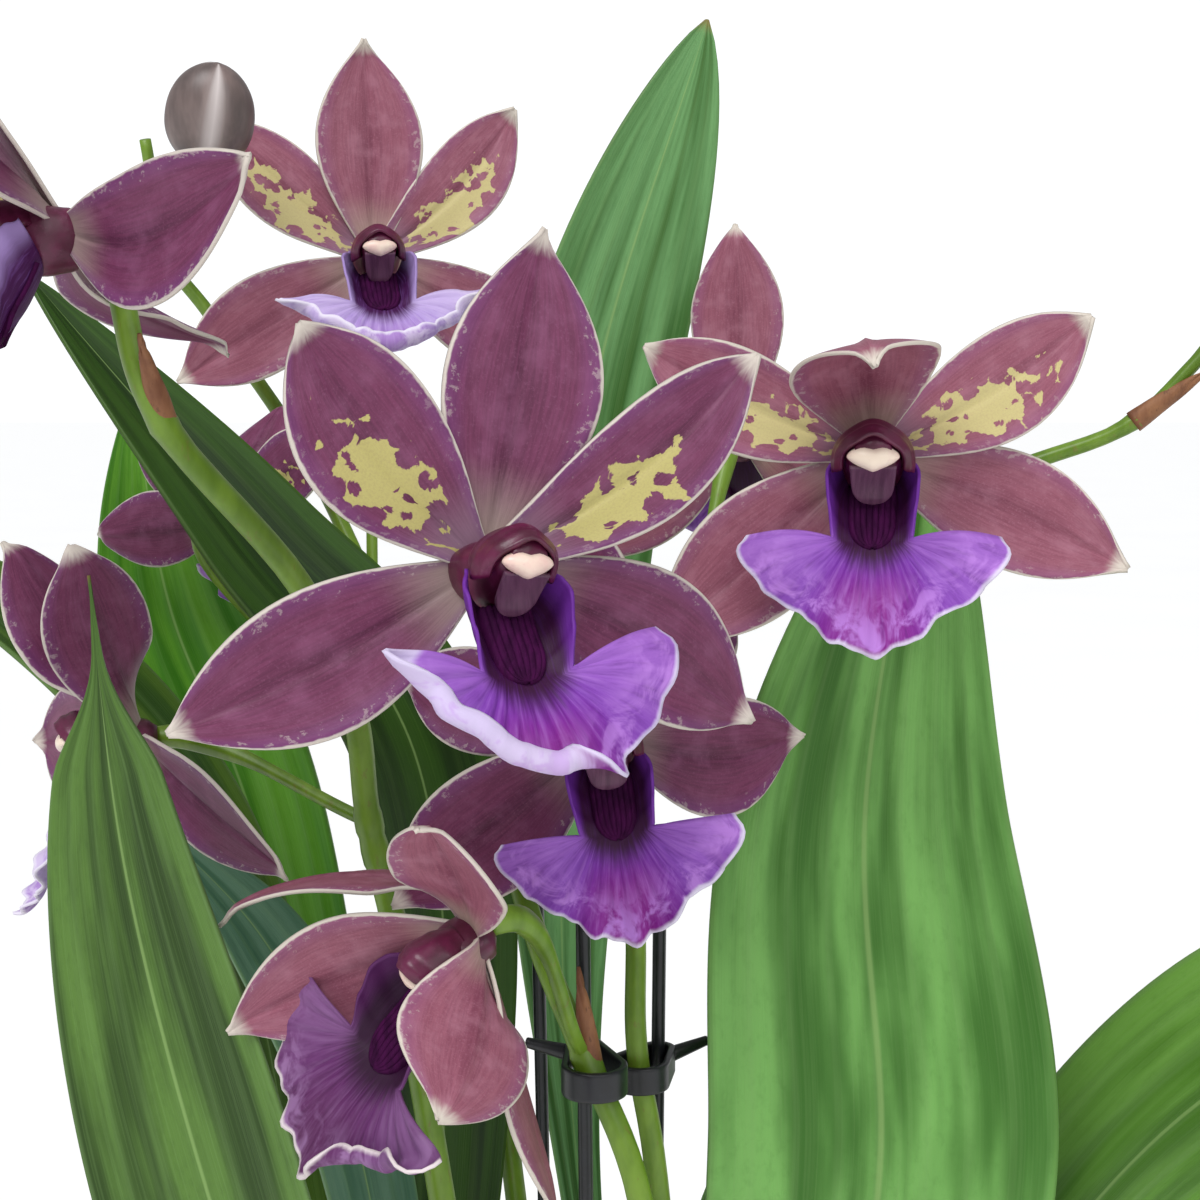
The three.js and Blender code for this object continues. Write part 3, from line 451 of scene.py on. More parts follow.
class Graph:
    """Builds the nodes of one material or node group."""

    def __init__(self, tree):
        self.tree = tree

    def node(self, kind, feeds=(), **settings):
        made = self.tree.nodes.new(kind)
        for key, value in settings.items():
            setattr(made, key, value)
        for socket, value in dict(feeds).items():
            self.feed(made.inputs[socket], value)
        return made

    def feed(self, socket, value):
        if isinstance(value, bpy.types.NodeSocket):
            self.tree.links.new(value, socket)
        else:
            socket.default_value = value

    def math(self, operation, *values, clamp=False):
        made = self.node("ShaderNodeMath", enumerate(values), operation=operation, use_clamp=clamp)
        return made.outputs[0]

    def times(self, first, second):
        return self.math("MULTIPLY", first, second)

    def times_plus(self, value, factor, more):
        """A value times a factor, plus more."""
        return self.math("MULTIPLY_ADD", value, factor, more)

    def mix(self, factor, first, second):
        return self.node("ShaderNodeMix", {0: factor, 6: first, 7: second}, data_type="RGBA").outputs[2]

    def step(self, value, low, high, start=0.0, end=1.0):
        """Goes smoothly from start to end while a value goes from low to high."""
        feeds = {"Value": value, "From Min": low, "From Max": high, "To Min": start, "To Max": end}
        return self.node("ShaderNodeMapRange", feeds, interpolation_type="SMOOTHSTEP").outputs["Result"]

    def noise(self, vector, scale, detail=2.0, rough=0.5, distort=0.0):
        feeds = {"Vector": vector, "Scale": scale, "Detail": detail, "Roughness": rough,
                 "Distortion": distort}
        return self.node("ShaderNodeTexNoise", feeds).outputs["Fac"]

    def cells(self, vector, scale):
        """How far a place is from the nearest of many scattered points."""
        return self.node("ShaderNodeTexVoronoi", {"Vector": vector, "Scale": scale}).outputs["Distance"]

    def vector(self, x, y, z=0.0):
        return self.node("ShaderNodeCombineXYZ", {0: x, 1: y, 2: z}).outputs[0]

    def split(self, vector):
        return self.node("ShaderNodeSeparateXYZ", {0: vector}).outputs

    def scaled(self, vector, scale):
        return self.node("ShaderNodeMapping", {"Vector": vector, "Scale": scale}).outputs[0]

    def surface(self, given):
        """A piece's UV map across and along, its place from side (-1) to side (1), how far that is from the
        middle, and the layer of noise that the piece's kept number gives it."""
        u, v, _ = self.split(given["UV"])
        side = self.times_plus(u, 2.0, -1.0)
        return u, v, side, self.math("ABSOLUTE", side), self.times(given["Seed"], LAYER_STEP)

    def sheet(self, u, v, stretch, layer):
        """A place in the noise for a place on a piece, stretched across and along it."""
        across, along = stretch
        return self.vector(self.times(u, across), self.times(v, along), layer)


def group(name, inputs, outputs, build):
    """A node group with named inputs (name: default) and outputs (name: kind), built once."""
    tree = bpy.data.node_groups.new(name, "ShaderNodeTree")
    kinds = {float: "NodeSocketFloat", tuple: "NodeSocketColor", str: "NodeSocketVector"}
    for key, value in inputs.items():
        socket = tree.interface.new_socket(name=key, in_out="INPUT", socket_type=kinds[type(value)])
        if not isinstance(value, str):
            socket.default_value = value
    for key, kind in outputs.items():
        tree.interface.new_socket(name=key, in_out="OUTPUT", socket_type=kind)
    graph = Graph(tree)
    made = build(graph, graph.node("NodeGroupInput").outputs)
    graph.node("NodeGroupOutput", made)
    return tree


COLOUR_AND_HEIGHT = {"Color": "NodeSocketColor", "Height": "NodeSocketFloat"}

# How far apart in the noise the kept numbers 0 and 1 lie.
LAYER_STEP = 9.0

# How fine each pattern is across and along a piece.
TEPAL_GRAIN = (17.0, 35.0)
TEPAL_STREAKS = (46.0, 7.0)
TEPAL_SPOTS = (17.0, 34.0)
LIP_GRAIN = (26.0, 16.0)
LIP_RAYS = (58.0, 5.0)
LEAF_RIBBONS = (5.0, 2.6)
LEAF_VEINS = (150.0, 3.0)
LEAF_MOTTLE = (30.0, 60.0)

# The petal's blotch: its middle along and beside the midline, its half width, how far it reaches, how much
# its spots and its ragged edge eat into it, and how soft its edge is.
BLOTCH = {"along": 0.38, "side": 0.25, "half_width": 0.56, "reach": 0.86, "spots": 1.3, "ragged": 2.3,
          "soft": 0.09}


def tepal_pattern(g, given):
    """Mauve flesh with fine streaks, a dark midline, a pale foot, a violet then cream margin, cream flecks
    and, on a petal, a jagged yellow blotch eaten into by purple spots."""
    u, v, side, away, layer = g.surface(given)
    flat = g.sheet(u, v, TEPAL_GRAIN, layer)
    streaks = g.noise(g.sheet(u, v, TEPAL_STREAKS, layer), 1.0, 4.0, 0.6)
    grain = g.noise(flat, 3.4, 3.0, 0.65)
    clouds = g.noise(flat, 0.22, 3.0, 0.6)
    midline = g.times(g.step(away, 0.42, 0.0), g.step(v, 0.98, 0.5))
    lines = g.step(streaks, 0.32, 0.68)
    dark = g.math("MULTIPLY_ADD", lines, 0.5, g.times_plus(midline, 0.5, -0.05), clamp=True)
    flesh = g.mix(dark, given["Ground"], given["Dark"])
    flesh = g.mix(g.step(clouds, 0.42, 0.75, 0.0, 0.4), flesh, given["Pale"])
    flesh = g.mix(g.step(grain, 0.5, 0.78, 0.0, 0.35), flesh, given["Pale"])
    foot = g.step(g.times_plus(streaks, 0.1, v), 0.36, 0.06)
    flesh = g.mix(g.times(foot, 0.9), flesh, given["Foot"])
    flesh = g.mix(g.step(away, 0.62, 1.0, 0.0, 0.5), flesh, given["Violet"])
    along = g.math("DIVIDE", g.math("SUBTRACT", v, BLOTCH["along"]), given["Reach"])
    beside = g.math("DIVIDE", g.math("SUBTRACT", side, BLOTCH["side"]), BLOTCH["half_width"])
    round_off = g.math("SQRT", g.math("ADD", g.times(along, along), g.times(beside, beside)))
    spots = g.math("SUBTRACT", g.cells(g.sheet(u, v, TEPAL_SPOTS, layer), 0.42), 0.58)
    ragged = g.math("SUBTRACT", g.noise(flat, 0.26, 4.0, 0.62, 0.8), 0.5)
    yellowed = g.times_plus(spots, BLOTCH["spots"], g.math("SUBTRACT", BLOTCH["reach"], round_off))
    yellowed = g.times_plus(ragged, BLOTCH["ragged"], yellowed)
    blotch = g.times(g.step(yellowed, 0.0, BLOTCH["soft"]), given["Blotch"])
    yellow = g.mix(g.step(grain, 0.4, 0.7, 0.0, 0.14), given["Yellow"], given["Ground"])
    flesh = g.mix(blotch, flesh, yellow)
    flecks = g.math("ADD", g.noise(flat, 0.9, 5.0, 0.7), g.step(away, 0.4, 0.99, -0.2, 0.1))
    flesh = g.mix(g.times(g.step(flecks, 0.62, 0.68), given["Flecks"]), flesh, given["Margin"])
    rim = g.times_plus(g.noise(flat, 0.5, 2.0), 0.07, away)
    tip = g.times_plus(g.noise(flat, 0.6, 2.0), 0.04, v)
    edge = g.math("MAXIMUM", g.step(rim, 0.985, 1.02), g.step(tip, 0.94, 1.0))
    flesh = g.mix(edge, flesh, given["Margin"])
    return {"Color": flesh, "Height": g.times_plus(streaks, 0.7, g.times(grain, 0.3))}


def lip_pattern(g, given):
    """A very dark throat, then a violet fan that turns magenta low in the middle, with fine rays, pale
    clouds near the margin, a white edge and, where it is rolled forward, the pale back showing."""
    u, v, _, away, layer = g.surface(given)
    rays = g.noise(g.sheet(u, v, LIP_RAYS, layer), 1.0, 4.0, 0.6)
    clouds = g.noise(g.sheet(u, v, LIP_GRAIN, layer), 0.34, 4.0, 0.62, 0.6)
    low = g.times(g.step(v, 0.52, 0.78), g.step(away, 0.62, 0.08))
    fan = g.mix(g.step(away, 0.35, 0.95, 0.0, 0.4), given["Violet"], given["Pale"])
    fan = g.mix(low, fan, given["Magenta"])
    fan = g.mix(g.step(rays, 0.42, 0.8, 0.0, 0.32), fan, given["Pale"])
    fan = g.mix(g.step(rays, 0.5, 0.25, 0.0, 0.45), fan, given["Deep"])
    whiter = g.times(g.step(v, 0.66, 0.96), g.step(clouds, 0.44, 0.6))
    fan = g.mix(g.times(whiter, 0.85), fan, given["Pale"])
    throat = g.mix(g.step(rays, 0.45, 0.75, 0.0, 0.35), given["Throat"], given["Deep"])
    turn = g.times_plus(g.times(away, away), 0.16, g.times_plus(rays, 0.07, v))
    flesh = g.mix(g.step(turn, 0.56, 0.7), throat, fan)
    lobes = g.times(g.step(away, 0.66, 0.95), g.step(v, 0.62, 0.4))
    flesh = g.mix(g.times(lobes, 0.8), flesh, given["Violet"])
    rolled = g.times(g.step(v, 0.79, 0.84), g.step(g.times_plus(clouds, 0.1, u), 0.42, 0.52))
    whitened = g.times(given["Rolled"], g.step(clouds, 0.6, 0.5, 0.6, 1.0))
    flesh = g.mix(g.times(rolled, whitened), flesh, given["Edge"])
    edge = g.step(g.times_plus(clouds, 0.05, v), 0.99, 1.02)
    return {"Color": g.mix(edge, flesh, given["Edge"]), "Height": rays}


def underside_pattern(g, given):
    """The lip's back: violet behind the throat, then lavender white with a few purple flecks."""
    u, v, _, _, layer = g.surface(given)
    flat = g.sheet(u, v, LIP_GRAIN, layer)
    shade = g.noise(flat, 0.3, 3.0, 0.6)
    ground = g.mix(g.step(shade, 0.35, 0.7), given["White"], given["Lavender"])
    ground = g.mix(g.step(v, 0.62, 0.4), ground, given["Violet"])
    flecks = g.math("ADD", g.noise(flat, 1.1, 4.0, 0.7), g.step(v, 0.8, 0.99, -0.12, 0.04))
    flesh = g.mix(g.step(flecks, 0.66, 0.7, 0.0, 0.8), ground, given["Fleck"])
    return {"Color": flesh, "Height": shade}


def leaf_pattern(g, given):
    """Parallel veins, a pale midrib, light and dark ribbons along the blade and a paler margin."""
    u, v, _, away, layer = g.surface(given)
    ribbons = g.noise(g.sheet(u, v, LEAF_RIBBONS, layer), 1.0, 3.0, 0.55)
    veins = g.noise(g.sheet(u, v, LEAF_VEINS, layer), 1.0, 2.0, 0.5)
    mottle = g.noise(g.sheet(u, v, LEAF_MOTTLE, layer), 1.0, 4.0, 0.65)
    green = g.mix(g.step(ribbons, 0.36, 0.62), given["Deep"], given["Fresh"])
    green = g.mix(g.step(veins, 0.4, 0.8, 0.0, 0.16), green, given["Light"])
    green = g.mix(g.step(mottle, 0.45, 0.8, 0.0, 0.25), green, given["Deep"])
    wave = g.math("COSINE", g.times(away, g.times(given["Pleats"], math.pi)))
    crest = g.math("POWER", g.math("ABSOLUTE", wave), 24.0)
    green = g.mix(g.times(crest, 0.12), green, given["Light"])
    rib = g.step(away, 0.024, 0.006)
    green = g.mix(g.times(rib, 0.45), green, given["Rib"])
    green = g.mix(g.step(away, 0.95, 1.0, 0.0, 0.3), green, given["Light"])
    green = g.mix(g.step(v, 0.12, 0.0, 0.0, 0.6), green, given["Rib"])
    dry = g.step(g.times_plus(mottle, 0.02, v), 1.0, 1.012, 0.0, 0.8)
    green = g.mix(dry, green, given["Dry"])
    return {"Color": green, "Height": g.times_plus(veins, 0.75, g.times(mottle, 0.25))}


def grain_pattern(g, given):
    """Two tones broken up by noise, with specks of a third."""
    broad = g.noise(given["Vector"], given["Scale"], 4.0, 0.6)
    fine = g.noise(given["Vector"], g.times(given["Scale"], 5.0), 3.0, 0.65)
    flesh = g.mix(g.step(broad, 0.35, 0.68), given["First"], given["Second"])
    specks = g.times(g.step(fine, 0.6, 0.68), given["Specks"])
    flesh = g.mix(specks, flesh, given["Speck"])
    return {"Color": flesh, "Height": g.times_plus(fine, 0.6, g.times(broad, 0.4))}


def stripe_pattern(g, given):
    """Two tones broken up by noise, with pale stripes of painted highlight where the kept number is high."""
    broad = g.noise(given["Vector"], given["Scale"], 4.0, 0.6)
    flesh = g.mix(g.step(broad, 0.35, 0.68), given["First"], given["Second"])
    # The pale stripes are a painted highlight.
    stripe = g.times(given["Seed"], g.step(broad, 0.1, 0.6, 0.5, 0.9))
    return {"Color": g.mix(stripe, flesh, given["Stripe"]), "Height": broad}


WHITE = tone(255, 255, 255)
TEPAL_GROUP = group("tepal pattern", {
    "UV": "", "Seed": 0.0, "Ground": WHITE, "Dark": WHITE, "Pale": WHITE, "Foot": WHITE, "Violet": WHITE,
    "Margin": WHITE, "Yellow": WHITE, "Blotch": 0.0, "Reach": 0.27, "Flecks": 0.0},
    COLOUR_AND_HEIGHT, tepal_pattern)
LIP_GROUP = group("lip pattern", {
    "UV": "", "Seed": 0.0, "Violet": WHITE, "Magenta": WHITE, "Pale": WHITE, "Deep": WHITE,
    "Throat": WHITE, "Edge": WHITE, "Rolled": 0.0}, COLOUR_AND_HEIGHT, lip_pattern)
UNDERSIDE_GROUP = group("lip underside", {
    "UV": "", "Seed": 0.0, "White": WHITE, "Lavender": WHITE, "Violet": WHITE, "Fleck": WHITE},
    COLOUR_AND_HEIGHT, underside_pattern)
LEAF_GROUP = group("leaf pattern", {
    "UV": "", "Seed": 0.0, "Deep": WHITE, "Fresh": WHITE, "Light": WHITE, "Rib": WHITE, "Dry": WHITE,
    "Pleats": 3.0}, COLOUR_AND_HEIGHT, leaf_pattern)
HIGHLIGHT_STRIPE_GROUP = group("bud stripes", {
    "Vector": "", "Seed": 0.0, "Scale": 1.0, "First": WHITE, "Second": WHITE, "Stripe": WHITE},
    COLOUR_AND_HEIGHT, stripe_pattern)
GRAIN_GROUP = group("grain", {
    "Vector": "", "Scale": 1.0, "First": WHITE, "Second": WHITE, "Speck": WHITE, "Specks": 0.0},
    COLOUR_AND_HEIGHT, grain_pattern)


def material(name, pattern, values, roughness, bump=0.15, distance=0.4, stretch=None, kept=False,
             shader=None):
    """A Principled material fed by one of the groups. A stretch means that the pattern reads Object
    coordinates at that stretch, and otherwise it reads the piece's UV map; without a stretch, or where kept
    is true, it reads the piece's kept numbers too. shader holds plain numbers for the Principled node."""
    made = bpy.data.materials.new(name)
    made.use_nodes = True
    graph = Graph(made.node_tree)
    skin = made.node_tree.nodes["Principled BSDF"]
    coordinates = graph.node("ShaderNodeTexCoord")
    if stretch:
        feeds = {"Vector": graph.scaled(coordinates.outputs["Object"], stretch)}
    else:
        feeds = {"UV": coordinates.outputs["UV"]}
    if kept or not stretch:
        feeds["Seed"] = graph.node("ShaderNodeAttribute", attribute_name="seed").outputs["Fac"]
    look = graph.node("ShaderNodeGroup", node_tree=pattern)
    for socket, value in {**feeds, **values}.items():
        graph.feed(look.inputs[socket], value)
    graph.feed(skin.inputs["Base Color"], look.outputs["Color"])
    relief = graph.node("ShaderNodeBump", {"Height": look.outputs["Height"], "Strength": bump,
                                           "Distance": distance * MM})
    graph.feed(skin.inputs["Normal"], relief.outputs["Normal"])
    for socket, value in {"Roughness": roughness, **(shader or {})}.items():
        skin.inputs[socket].default_value = value
    return made


def grained(name, scale, first, second, roughness, speck=(255, 255, 255), specks=0.0, stretch=(1, 1, 1),
            **finish):
    """A material of two tones broken up by noise, with specks of a third."""
    values = {"Scale": scale, "First": tone(*first), "Second": tone(*second), "Speck": tone(*speck),
              "Specks": specks}
    return material(name, GRAIN_GROUP, values, roughness, stretch=stretch, **finish)


def palette(**colours):
    """Colours as they look on a screen, as the inputs of a pattern."""
    return {key.capitalize(): tone(*colour) for key, colour in colours.items()}


PLUM = {**palette(ground=(114, 53, 86), dark=(78, 30, 56), pale=(142, 86, 120), foot=(164, 146, 138),
                  violet=(116, 62, 122), margin=(208, 198, 188), yellow=(186, 176, 110)), "Reach": 0.28}
ROSE = {**palette(ground=(150, 88, 106), dark=(116, 56, 76), pale=(180, 126, 144), foot=(184, 162, 148),
                  violet=(140, 82, 128), margin=(212, 202, 190), yellow=(200, 188, 130)), "Reach": 0.36}
WAXY = {"Specular IOR Level": 0.28}
DULL = {"Specular IOR Level": 0.1}
GLOSSY = {"Coat Weight": 0.1}


def tepal_skins(shade, colours):
    """The three skins of one shade: a sepal's face, a petal's face and their backs."""
    petal = {**colours, "Foot": tone(150, 120, 140), "Blotch": 1.0, "Flecks": 0.15}
    back = {**colours, "Ground": colours["Pale"], "Dark": colours["Ground"], "Foot": tone(168, 166, 116),
            "Flecks": 0.1}
    return {"sepal": material(shade + "_sepal", TEPAL_GROUP, {**colours, "Flecks": 0.3}, 0.45, shader=WAXY),
            "petal": material(shade + "_petal", TEPAL_GROUP, petal, 0.45, shader=WAXY),
            "back": material(shade + "_tepal_back", TEPAL_GROUP, back, 0.5, shader=WAXY)}


TEPAL_SKINS = {"plum": tepal_skins("plum", PLUM), "rose": tepal_skins("rose", ROSE)}
TEPAL_EDGE = grained("tepal_edge", 300.0, (182, 162, 160), (144, 110, 132), 0.5)
VIOLET_FAN = palette(violet=(116, 48, 164), magenta=(128, 20, 130), pale=(188, 132, 220), deep=(80, 20, 108),
                     throat=(52, 4, 50), edge=(222, 212, 236))
FANS = {
    "violet": VIOLET_FAN,
    "rolled": {**VIOLET_FAN, "Edge": tone(214, 202, 232), "Rolled": 0.85},
    "pale": palette(violet=(176, 150, 212), magenta=(168, 128, 200), pale=(216, 200, 232),
                    deep=(140, 100, 180), throat=(64, 14, 70), edge=(230, 222, 240)),
    "dusk": palette(violet=(96, 40, 100), magenta=(88, 34, 84), pale=(150, 110, 158), deep=(62, 20, 64),
                    throat=(44, 4, 42), edge=(226, 214, 216)),
}
BEHIND_THROAT = {"violet": (104, 60, 152), "rolled": (104, 60, 152), "pale": (164, 142, 206),
                 "dusk": (96, 50, 104)}
LIP_FRONTS = {name: material("lip_" + name, LIP_GROUP, colours, 0.55, shader=WAXY)
              for name, colours in FANS.items()}
LIP_BACKS = {name: material("lip_back_" + name, UNDERSIDE_GROUP, palette(
    white=(218, 210, 232), lavender=(192, 176, 222), violet=colour, fleck=(124, 52, 144)), 0.5)
    for name, colour in BEHIND_THROAT.items()}
LIP_EDGE = grained("lip_edge", 300.0, (226, 218, 238), (204, 184, 224), 0.5)
HOOD = grained("column_hood", 260.0, (74, 12, 42), (98, 22, 62), 0.38, (140, 70, 110), 0.15, shader=GLOSSY)
PLATE = grained("column_plate", 420.0, (98, 58, 84), (74, 36, 62), 0.45, (70, 30, 60), 0.3, (3, 0.3, 0.3))
CAP = grained("anther_cap", 200.0, (244, 226, 206), (234, 196, 186), 0.32, (200, 140, 150), 0.15)
CALLUS = grained("callus", 340.0, (46, 4, 44), (66, 10, 62), 0.75, (96, 30, 96), 0.2, (3, 1, 1), shader=DULL)
GREEN = palette(light=(124, 160, 96), rib=(146, 178, 106), dry=(150, 120, 70))
STEM = grained("stem", 60.0, (88, 122, 22), (118, 152, 44), 0.4, (120, 96, 50), 0.35, (3, 3, 1))
BRACT = grained("bract", 120.0, (112, 66, 40), (152, 104, 68), 0.62, (70, 36, 22), 0.5, (2, 2, 0.6),
                bump=0.4)
# The bud: two grey-browns, and a pale colour that paints a highlight in stripes along its seams.
BUD = material("bud", HIGHLIGHT_STRIPE_GROUP, {
    "Scale": 70.0, **palette(first=(88, 76, 74), second=(132, 114, 110), stripe=(218, 208, 206))}, 0.4,
    stretch=(2, 2, 0.5), kept=True)
BULB_SKIN = grained("pseudobulb", 60.0, (96, 128, 44), (132, 158, 72), 0.42, (90, 84, 40), 0.4, (3, 3, 0.7))
SHEATH = grained("dry_sheath", 150.0, (168, 138, 96), (124, 92, 60), 0.75, (84, 58, 36), 0.5, (3, 3, 0.3),
                 bump=0.5)
BARK = grained("bark_chips", 120.0, (96, 62, 40), (58, 36, 24), 0.85, (152, 112, 78), 0.5, (1, 1, 2),
               bump=0.7, distance=0.8)
CLAY = grained("terracotta", 26.0, (190, 112, 76), (172, 96, 64), 0.85, (214, 176, 150), 0.4, (1, 1, 2.5),
               bump=0.25)
BLACK = grained("black_plastic", 160.0, (14, 15, 18), (24, 26, 32), 0.36, (60, 62, 68), 0.15, bump=0.1)


def tepal(kind, facts, size, draw):
    """One tepal in the flower's own frame: x to the right, y up, z out of the flower."""
    angle, start, end, twist = (math.radians(facts[key]) for key in ("angle", "foot", "tip", "twist"))
    out = Vector((math.sin(angle), math.cos(angle), 0))
    side = Vector((math.cos(angle), -math.sin(angle), 0))
    turn = end - start + 0.0002
    length = kind["length"] * size * facts["long"]
    phase, lift = draw.uniform(0, FULL_TURN), draw.uniform(0.8, 1.3)
    relief = TEPAL_RELIEF

    def lay(s, t):
        tilt = start + turn * s
        reach = TEPAL_START + length * (math.sin(tilt) - math.sin(start)) / turn
        rise = length * (math.cos(start) - math.cos(tilt)) / turn
        normal = out * -math.sin(tilt) + UP * math.cos(tilt)
        share = outline(s, kind["foot"] * facts["narrow"], kind["tip"] / facts["narrow"])
        wide = kind["width"] / 2 * facts["wide"] * share
        half = max(TIP_HALF, size * (wide + kind["base"] / 2 * (1 - s) ** 3))
        over = t * half
        groove = math.exp(-(t / relief["groove_width"]) ** 2)
        raised = relief["cup"] * t * t * half * lift
        raised += relief["ripple"] * t * t * math.sin(9 * s + phase + 2 * t) * smooth(s, 0.1, 0.4)
        raised -= relief["groove"] * groove * smooth(s, 0.02, 0.2) * smooth(s, 1, 0.8)
        raised += relief["hook"] * smooth(s, 0.9, 1) ** 2
        twisted = twist * smooth(s, 0, 0.45)
        across = over * math.cos(twisted) - raised * math.sin(twisted)
        above = over * math.sin(twisted) + raised * math.cos(twisted)
        across += facts["sweep"] * size * math.sin(math.pi * s)
        return UP * rise + out * reach + side * across + normal * above

    piece = grid(lay, across=20, along=44)
    if angle < 0:
        for corner in piece.data.uv_layers[0].data:
            corner.uv.x = 1 - corner.uv.x
    thicken(piece, TEPAL_THICKNESS)
    seed(piece, draw.random())
    return piece


# The lip in its own frame: y and z of its root, of the run of its neck and of its fan's middle, the point
# that it hinges about, and where its margin starts to roll and how tightly. Then tables of the neck's half
# width and its lobes' height along it, and of the fan's radius from its middle to its sides.
LIP_ROOT = (-4.8, 3.3)
NECK_RUN = (-7.7, 6.0)
FAN_MIDDLE = (-12.2, 10.5)
LIP_HINGE = (0, -4, 2)
ROLL = {"start": 0.8, "radius": 1.1}
NECK_HALF = [(0, 4.6), (0.4, 5.5), (1, 5.3)]
LOBE_HEIGHT = [(0, 5.2), (0.3, 6.6), (0.5, 6.9), (0.75, 5.0), (1, 1.6)]
FAN_RADIUS = [(0, 14.4), (0.22, 13.6), (0.48, 12.9), (0.74, 15.8), (0.93, 18.2), (1, 17.0)]


def lip_point(s, t, spread):
    """A point of the lip: s from its root (0) by the neck (0.5) to the margin (1), t from side to side."""
    side = math.copysign(1, t)
    reach = min(abs(t), 1)
    (root_y, root_z), (run_y, run_z), (middle_y, middle_z) = LIP_ROOT, NECK_RUN, FAN_MIDDLE
    trough = min(s * 2, 1)
    half = table(NECK_HALF, trough)
    rise = table(LOBE_HEIGHT, trough) * reach ** 2.2
    flare = 1 + 0.12 * reach ** 4 * math.sin(math.pi * trough)
    neck = Vector((side * half * flare * (1 - (1 - reach) ** 1.6),
                   root_y + run_y * trough - 0.5 * math.sin(math.pi * trough) + 0.9 * rise,
                   root_z + run_z * trough - 0.4 * math.sin(math.pi * trough) + 0.45 * rise))
    if s <= 0.5:
        return neck
    fan = s * 2 - 1
    angle = math.radians(spread[0] if t < 0 else spread[1]) * t
    radius = table(FAN_RADIUS, reach)
    ruffle = math.sin(23 * t + 1) + 0.6 * math.sin(41 * t)
    wave = 0.9 * math.sin(9 * t) * reach + 0.5 * ruffle * fan ** 3
    margin = Vector((radius * math.sin(angle), middle_y - (radius + 0.25 * ruffle) * math.cos(angle),
                     middle_z + 5 * math.cos(angle) + wave))
    sag = Vector((0, 0.9 * reach ** 3, 1.3)) * math.sin(math.pi * fan)
    return neck.lerp(margin, fan) + sag


def lip_turn(facts):
    """The lip's hinge forward and swing to the right, both about its root."""
    root = Matrix.Translation(Vector(LIP_HINGE) * MM)
    swing = Matrix.Rotation(math.radians(facts["swing"]), 4, "Z")
    hinge = Matrix.Rotation(math.radians(facts["hinge"]), 4, "X")
    return root @ hinge @ swing @ root.inverted()


def lip(facts, draw):
    """The lip's blade, with its margin rolled forward on either side."""
    start, radius = ROLL["start"], ROLL["radius"]
    left, right = facts["curl"]
    spread = facts["spread"]

    def lay(s, t):
        point = lip_point(s, t, spread)
        share = right + (left - right) * smooth(-t, -0.42, 0.0)
        share *= 1 - 0.75 * smooth(abs(t), 0.78, 1)
        if s > start and share > 0:
            hinge = lip_point(start, t, spread)
            away = lip_point(1, t, spread) - hinge
            beside = lip_point(start, t + 0.02, spread) - lip_point(start, t - 0.02, spread)
            front = away.cross(beside).normalized()
            front = front if front.z > 0 else -front
            roll = (s - start) / (1 - start) * away.length / radius * share
            point = hinge + away.normalized() * (radius / share * math.sin(roll))
            point += front * (radius / share * (1 - math.cos(roll)))
        groove = 0.2 * math.sin(15 * math.pi * t) * smooth(s, 0.5, 0.65) * smooth(s, 1, 0.8)
        return (point + UP * groove) * facts["lip"]

    piece = grid(lambda s, t: lay(s, -t), across=80, along=64)
    thicken(piece, LIP_THICKNESS)
    seed(piece, draw.random())
    return piece


def callus(size):
    """The dark ridged pad in the throat."""
    def lay(s, t):
        half = 3.6 * math.sqrt(max(1 - max((s - 0.5) / 0.5, 0) ** 2.4, 0.004))
        ridge = 0.3 * abs(math.sin(4.5 * math.pi * t)) * smooth(s, 1.0, 0.7)
        crown = 1.1 * smooth(s, 1, 0.5) * (1 - 0.35 * t * t) + ridge
        crown -= 1.2 * smooth(abs(t), 0.7, 1)
        y = -4.9 - 7.6 * s - 0.5 * math.sin(math.pi * s)
        z = 4.2 + 5.6 * s - 0.3 * math.sin(math.pi * s)
        return Vector((half * t, y + 0.55 * crown, z + 0.8 * crown)) * size

    piece = grid(lambda s, t: lay(s, -t), across=54, along=26)
    thicken(piece, CORE_THICKNESS, rim=False)
    return piece


# Tables along the column, from its foot to its end, and along its hood.
COLUMN_BACK = [(0, 1.5), (0.12, 2.7), (0.3, 3.1), (0.55, 3.3), (0.8, 3.4), (0.93, 3.1), (1, 2.2)]
COLUMN_FRONT = [(0, 3.4), (0.1, 5.5), (0.34, 6.0), (0.52, 5.7), (0.68, 4.5), (0.82, 3.0), (1, 0.8)]
COLUMN_WIDTH = [(0, 3.0), (0.1, 4.9), (0.34, 5.1), (0.55, 4.0), (0.8, 3.8), (1, 2.4)]
HOOD_WIDTH = [(0, 3.2), (0.4, 4.7), (0.7, 5.4), (0.88, 5.0), (1, 4.1)]
HOOD_HEIGHT = [(0, 3.2), (0.4, 3.8), (0.7, 3.7), (0.88, 2.8), (1, 1.5)]


def column(size):
    """The body of the column, deepest below where it faces the throat."""
    def lay(s, angle):
        tall = table(COLUMN_BACK, s) if math.sin(angle) > 0 else table(COLUMN_FRONT, s)
        return Vector((table(COLUMN_WIDTH, s) * math.cos(angle), tall * math.sin(angle) + 0.2,
                       -2.4 + 15.9 * s)) * size

    return tube(lay, sides=32, rings=24)


def plate(size):
    """The pale face below the anther cap, hollowed along its middle and round at its lower end."""
    def lay(s, t):
        half = (3.1 - 0.5 * s) * math.sqrt(max(1 - max((s - 0.55) / 0.45, 0) ** 2.4, 0.01))
        hollow = 0.6 * (1 - t * t) * math.sin(math.pi * min(s + 0.15, 1))
        return Vector((half * t, -1.6 - 5.0 * s, 12.7 - 4.9 * s - hollow)) * size

    piece = grid(lambda s, t: lay(s, -t), across=20, along=24)
    thicken(piece, CORE_THICKNESS, rim=False)
    return piece


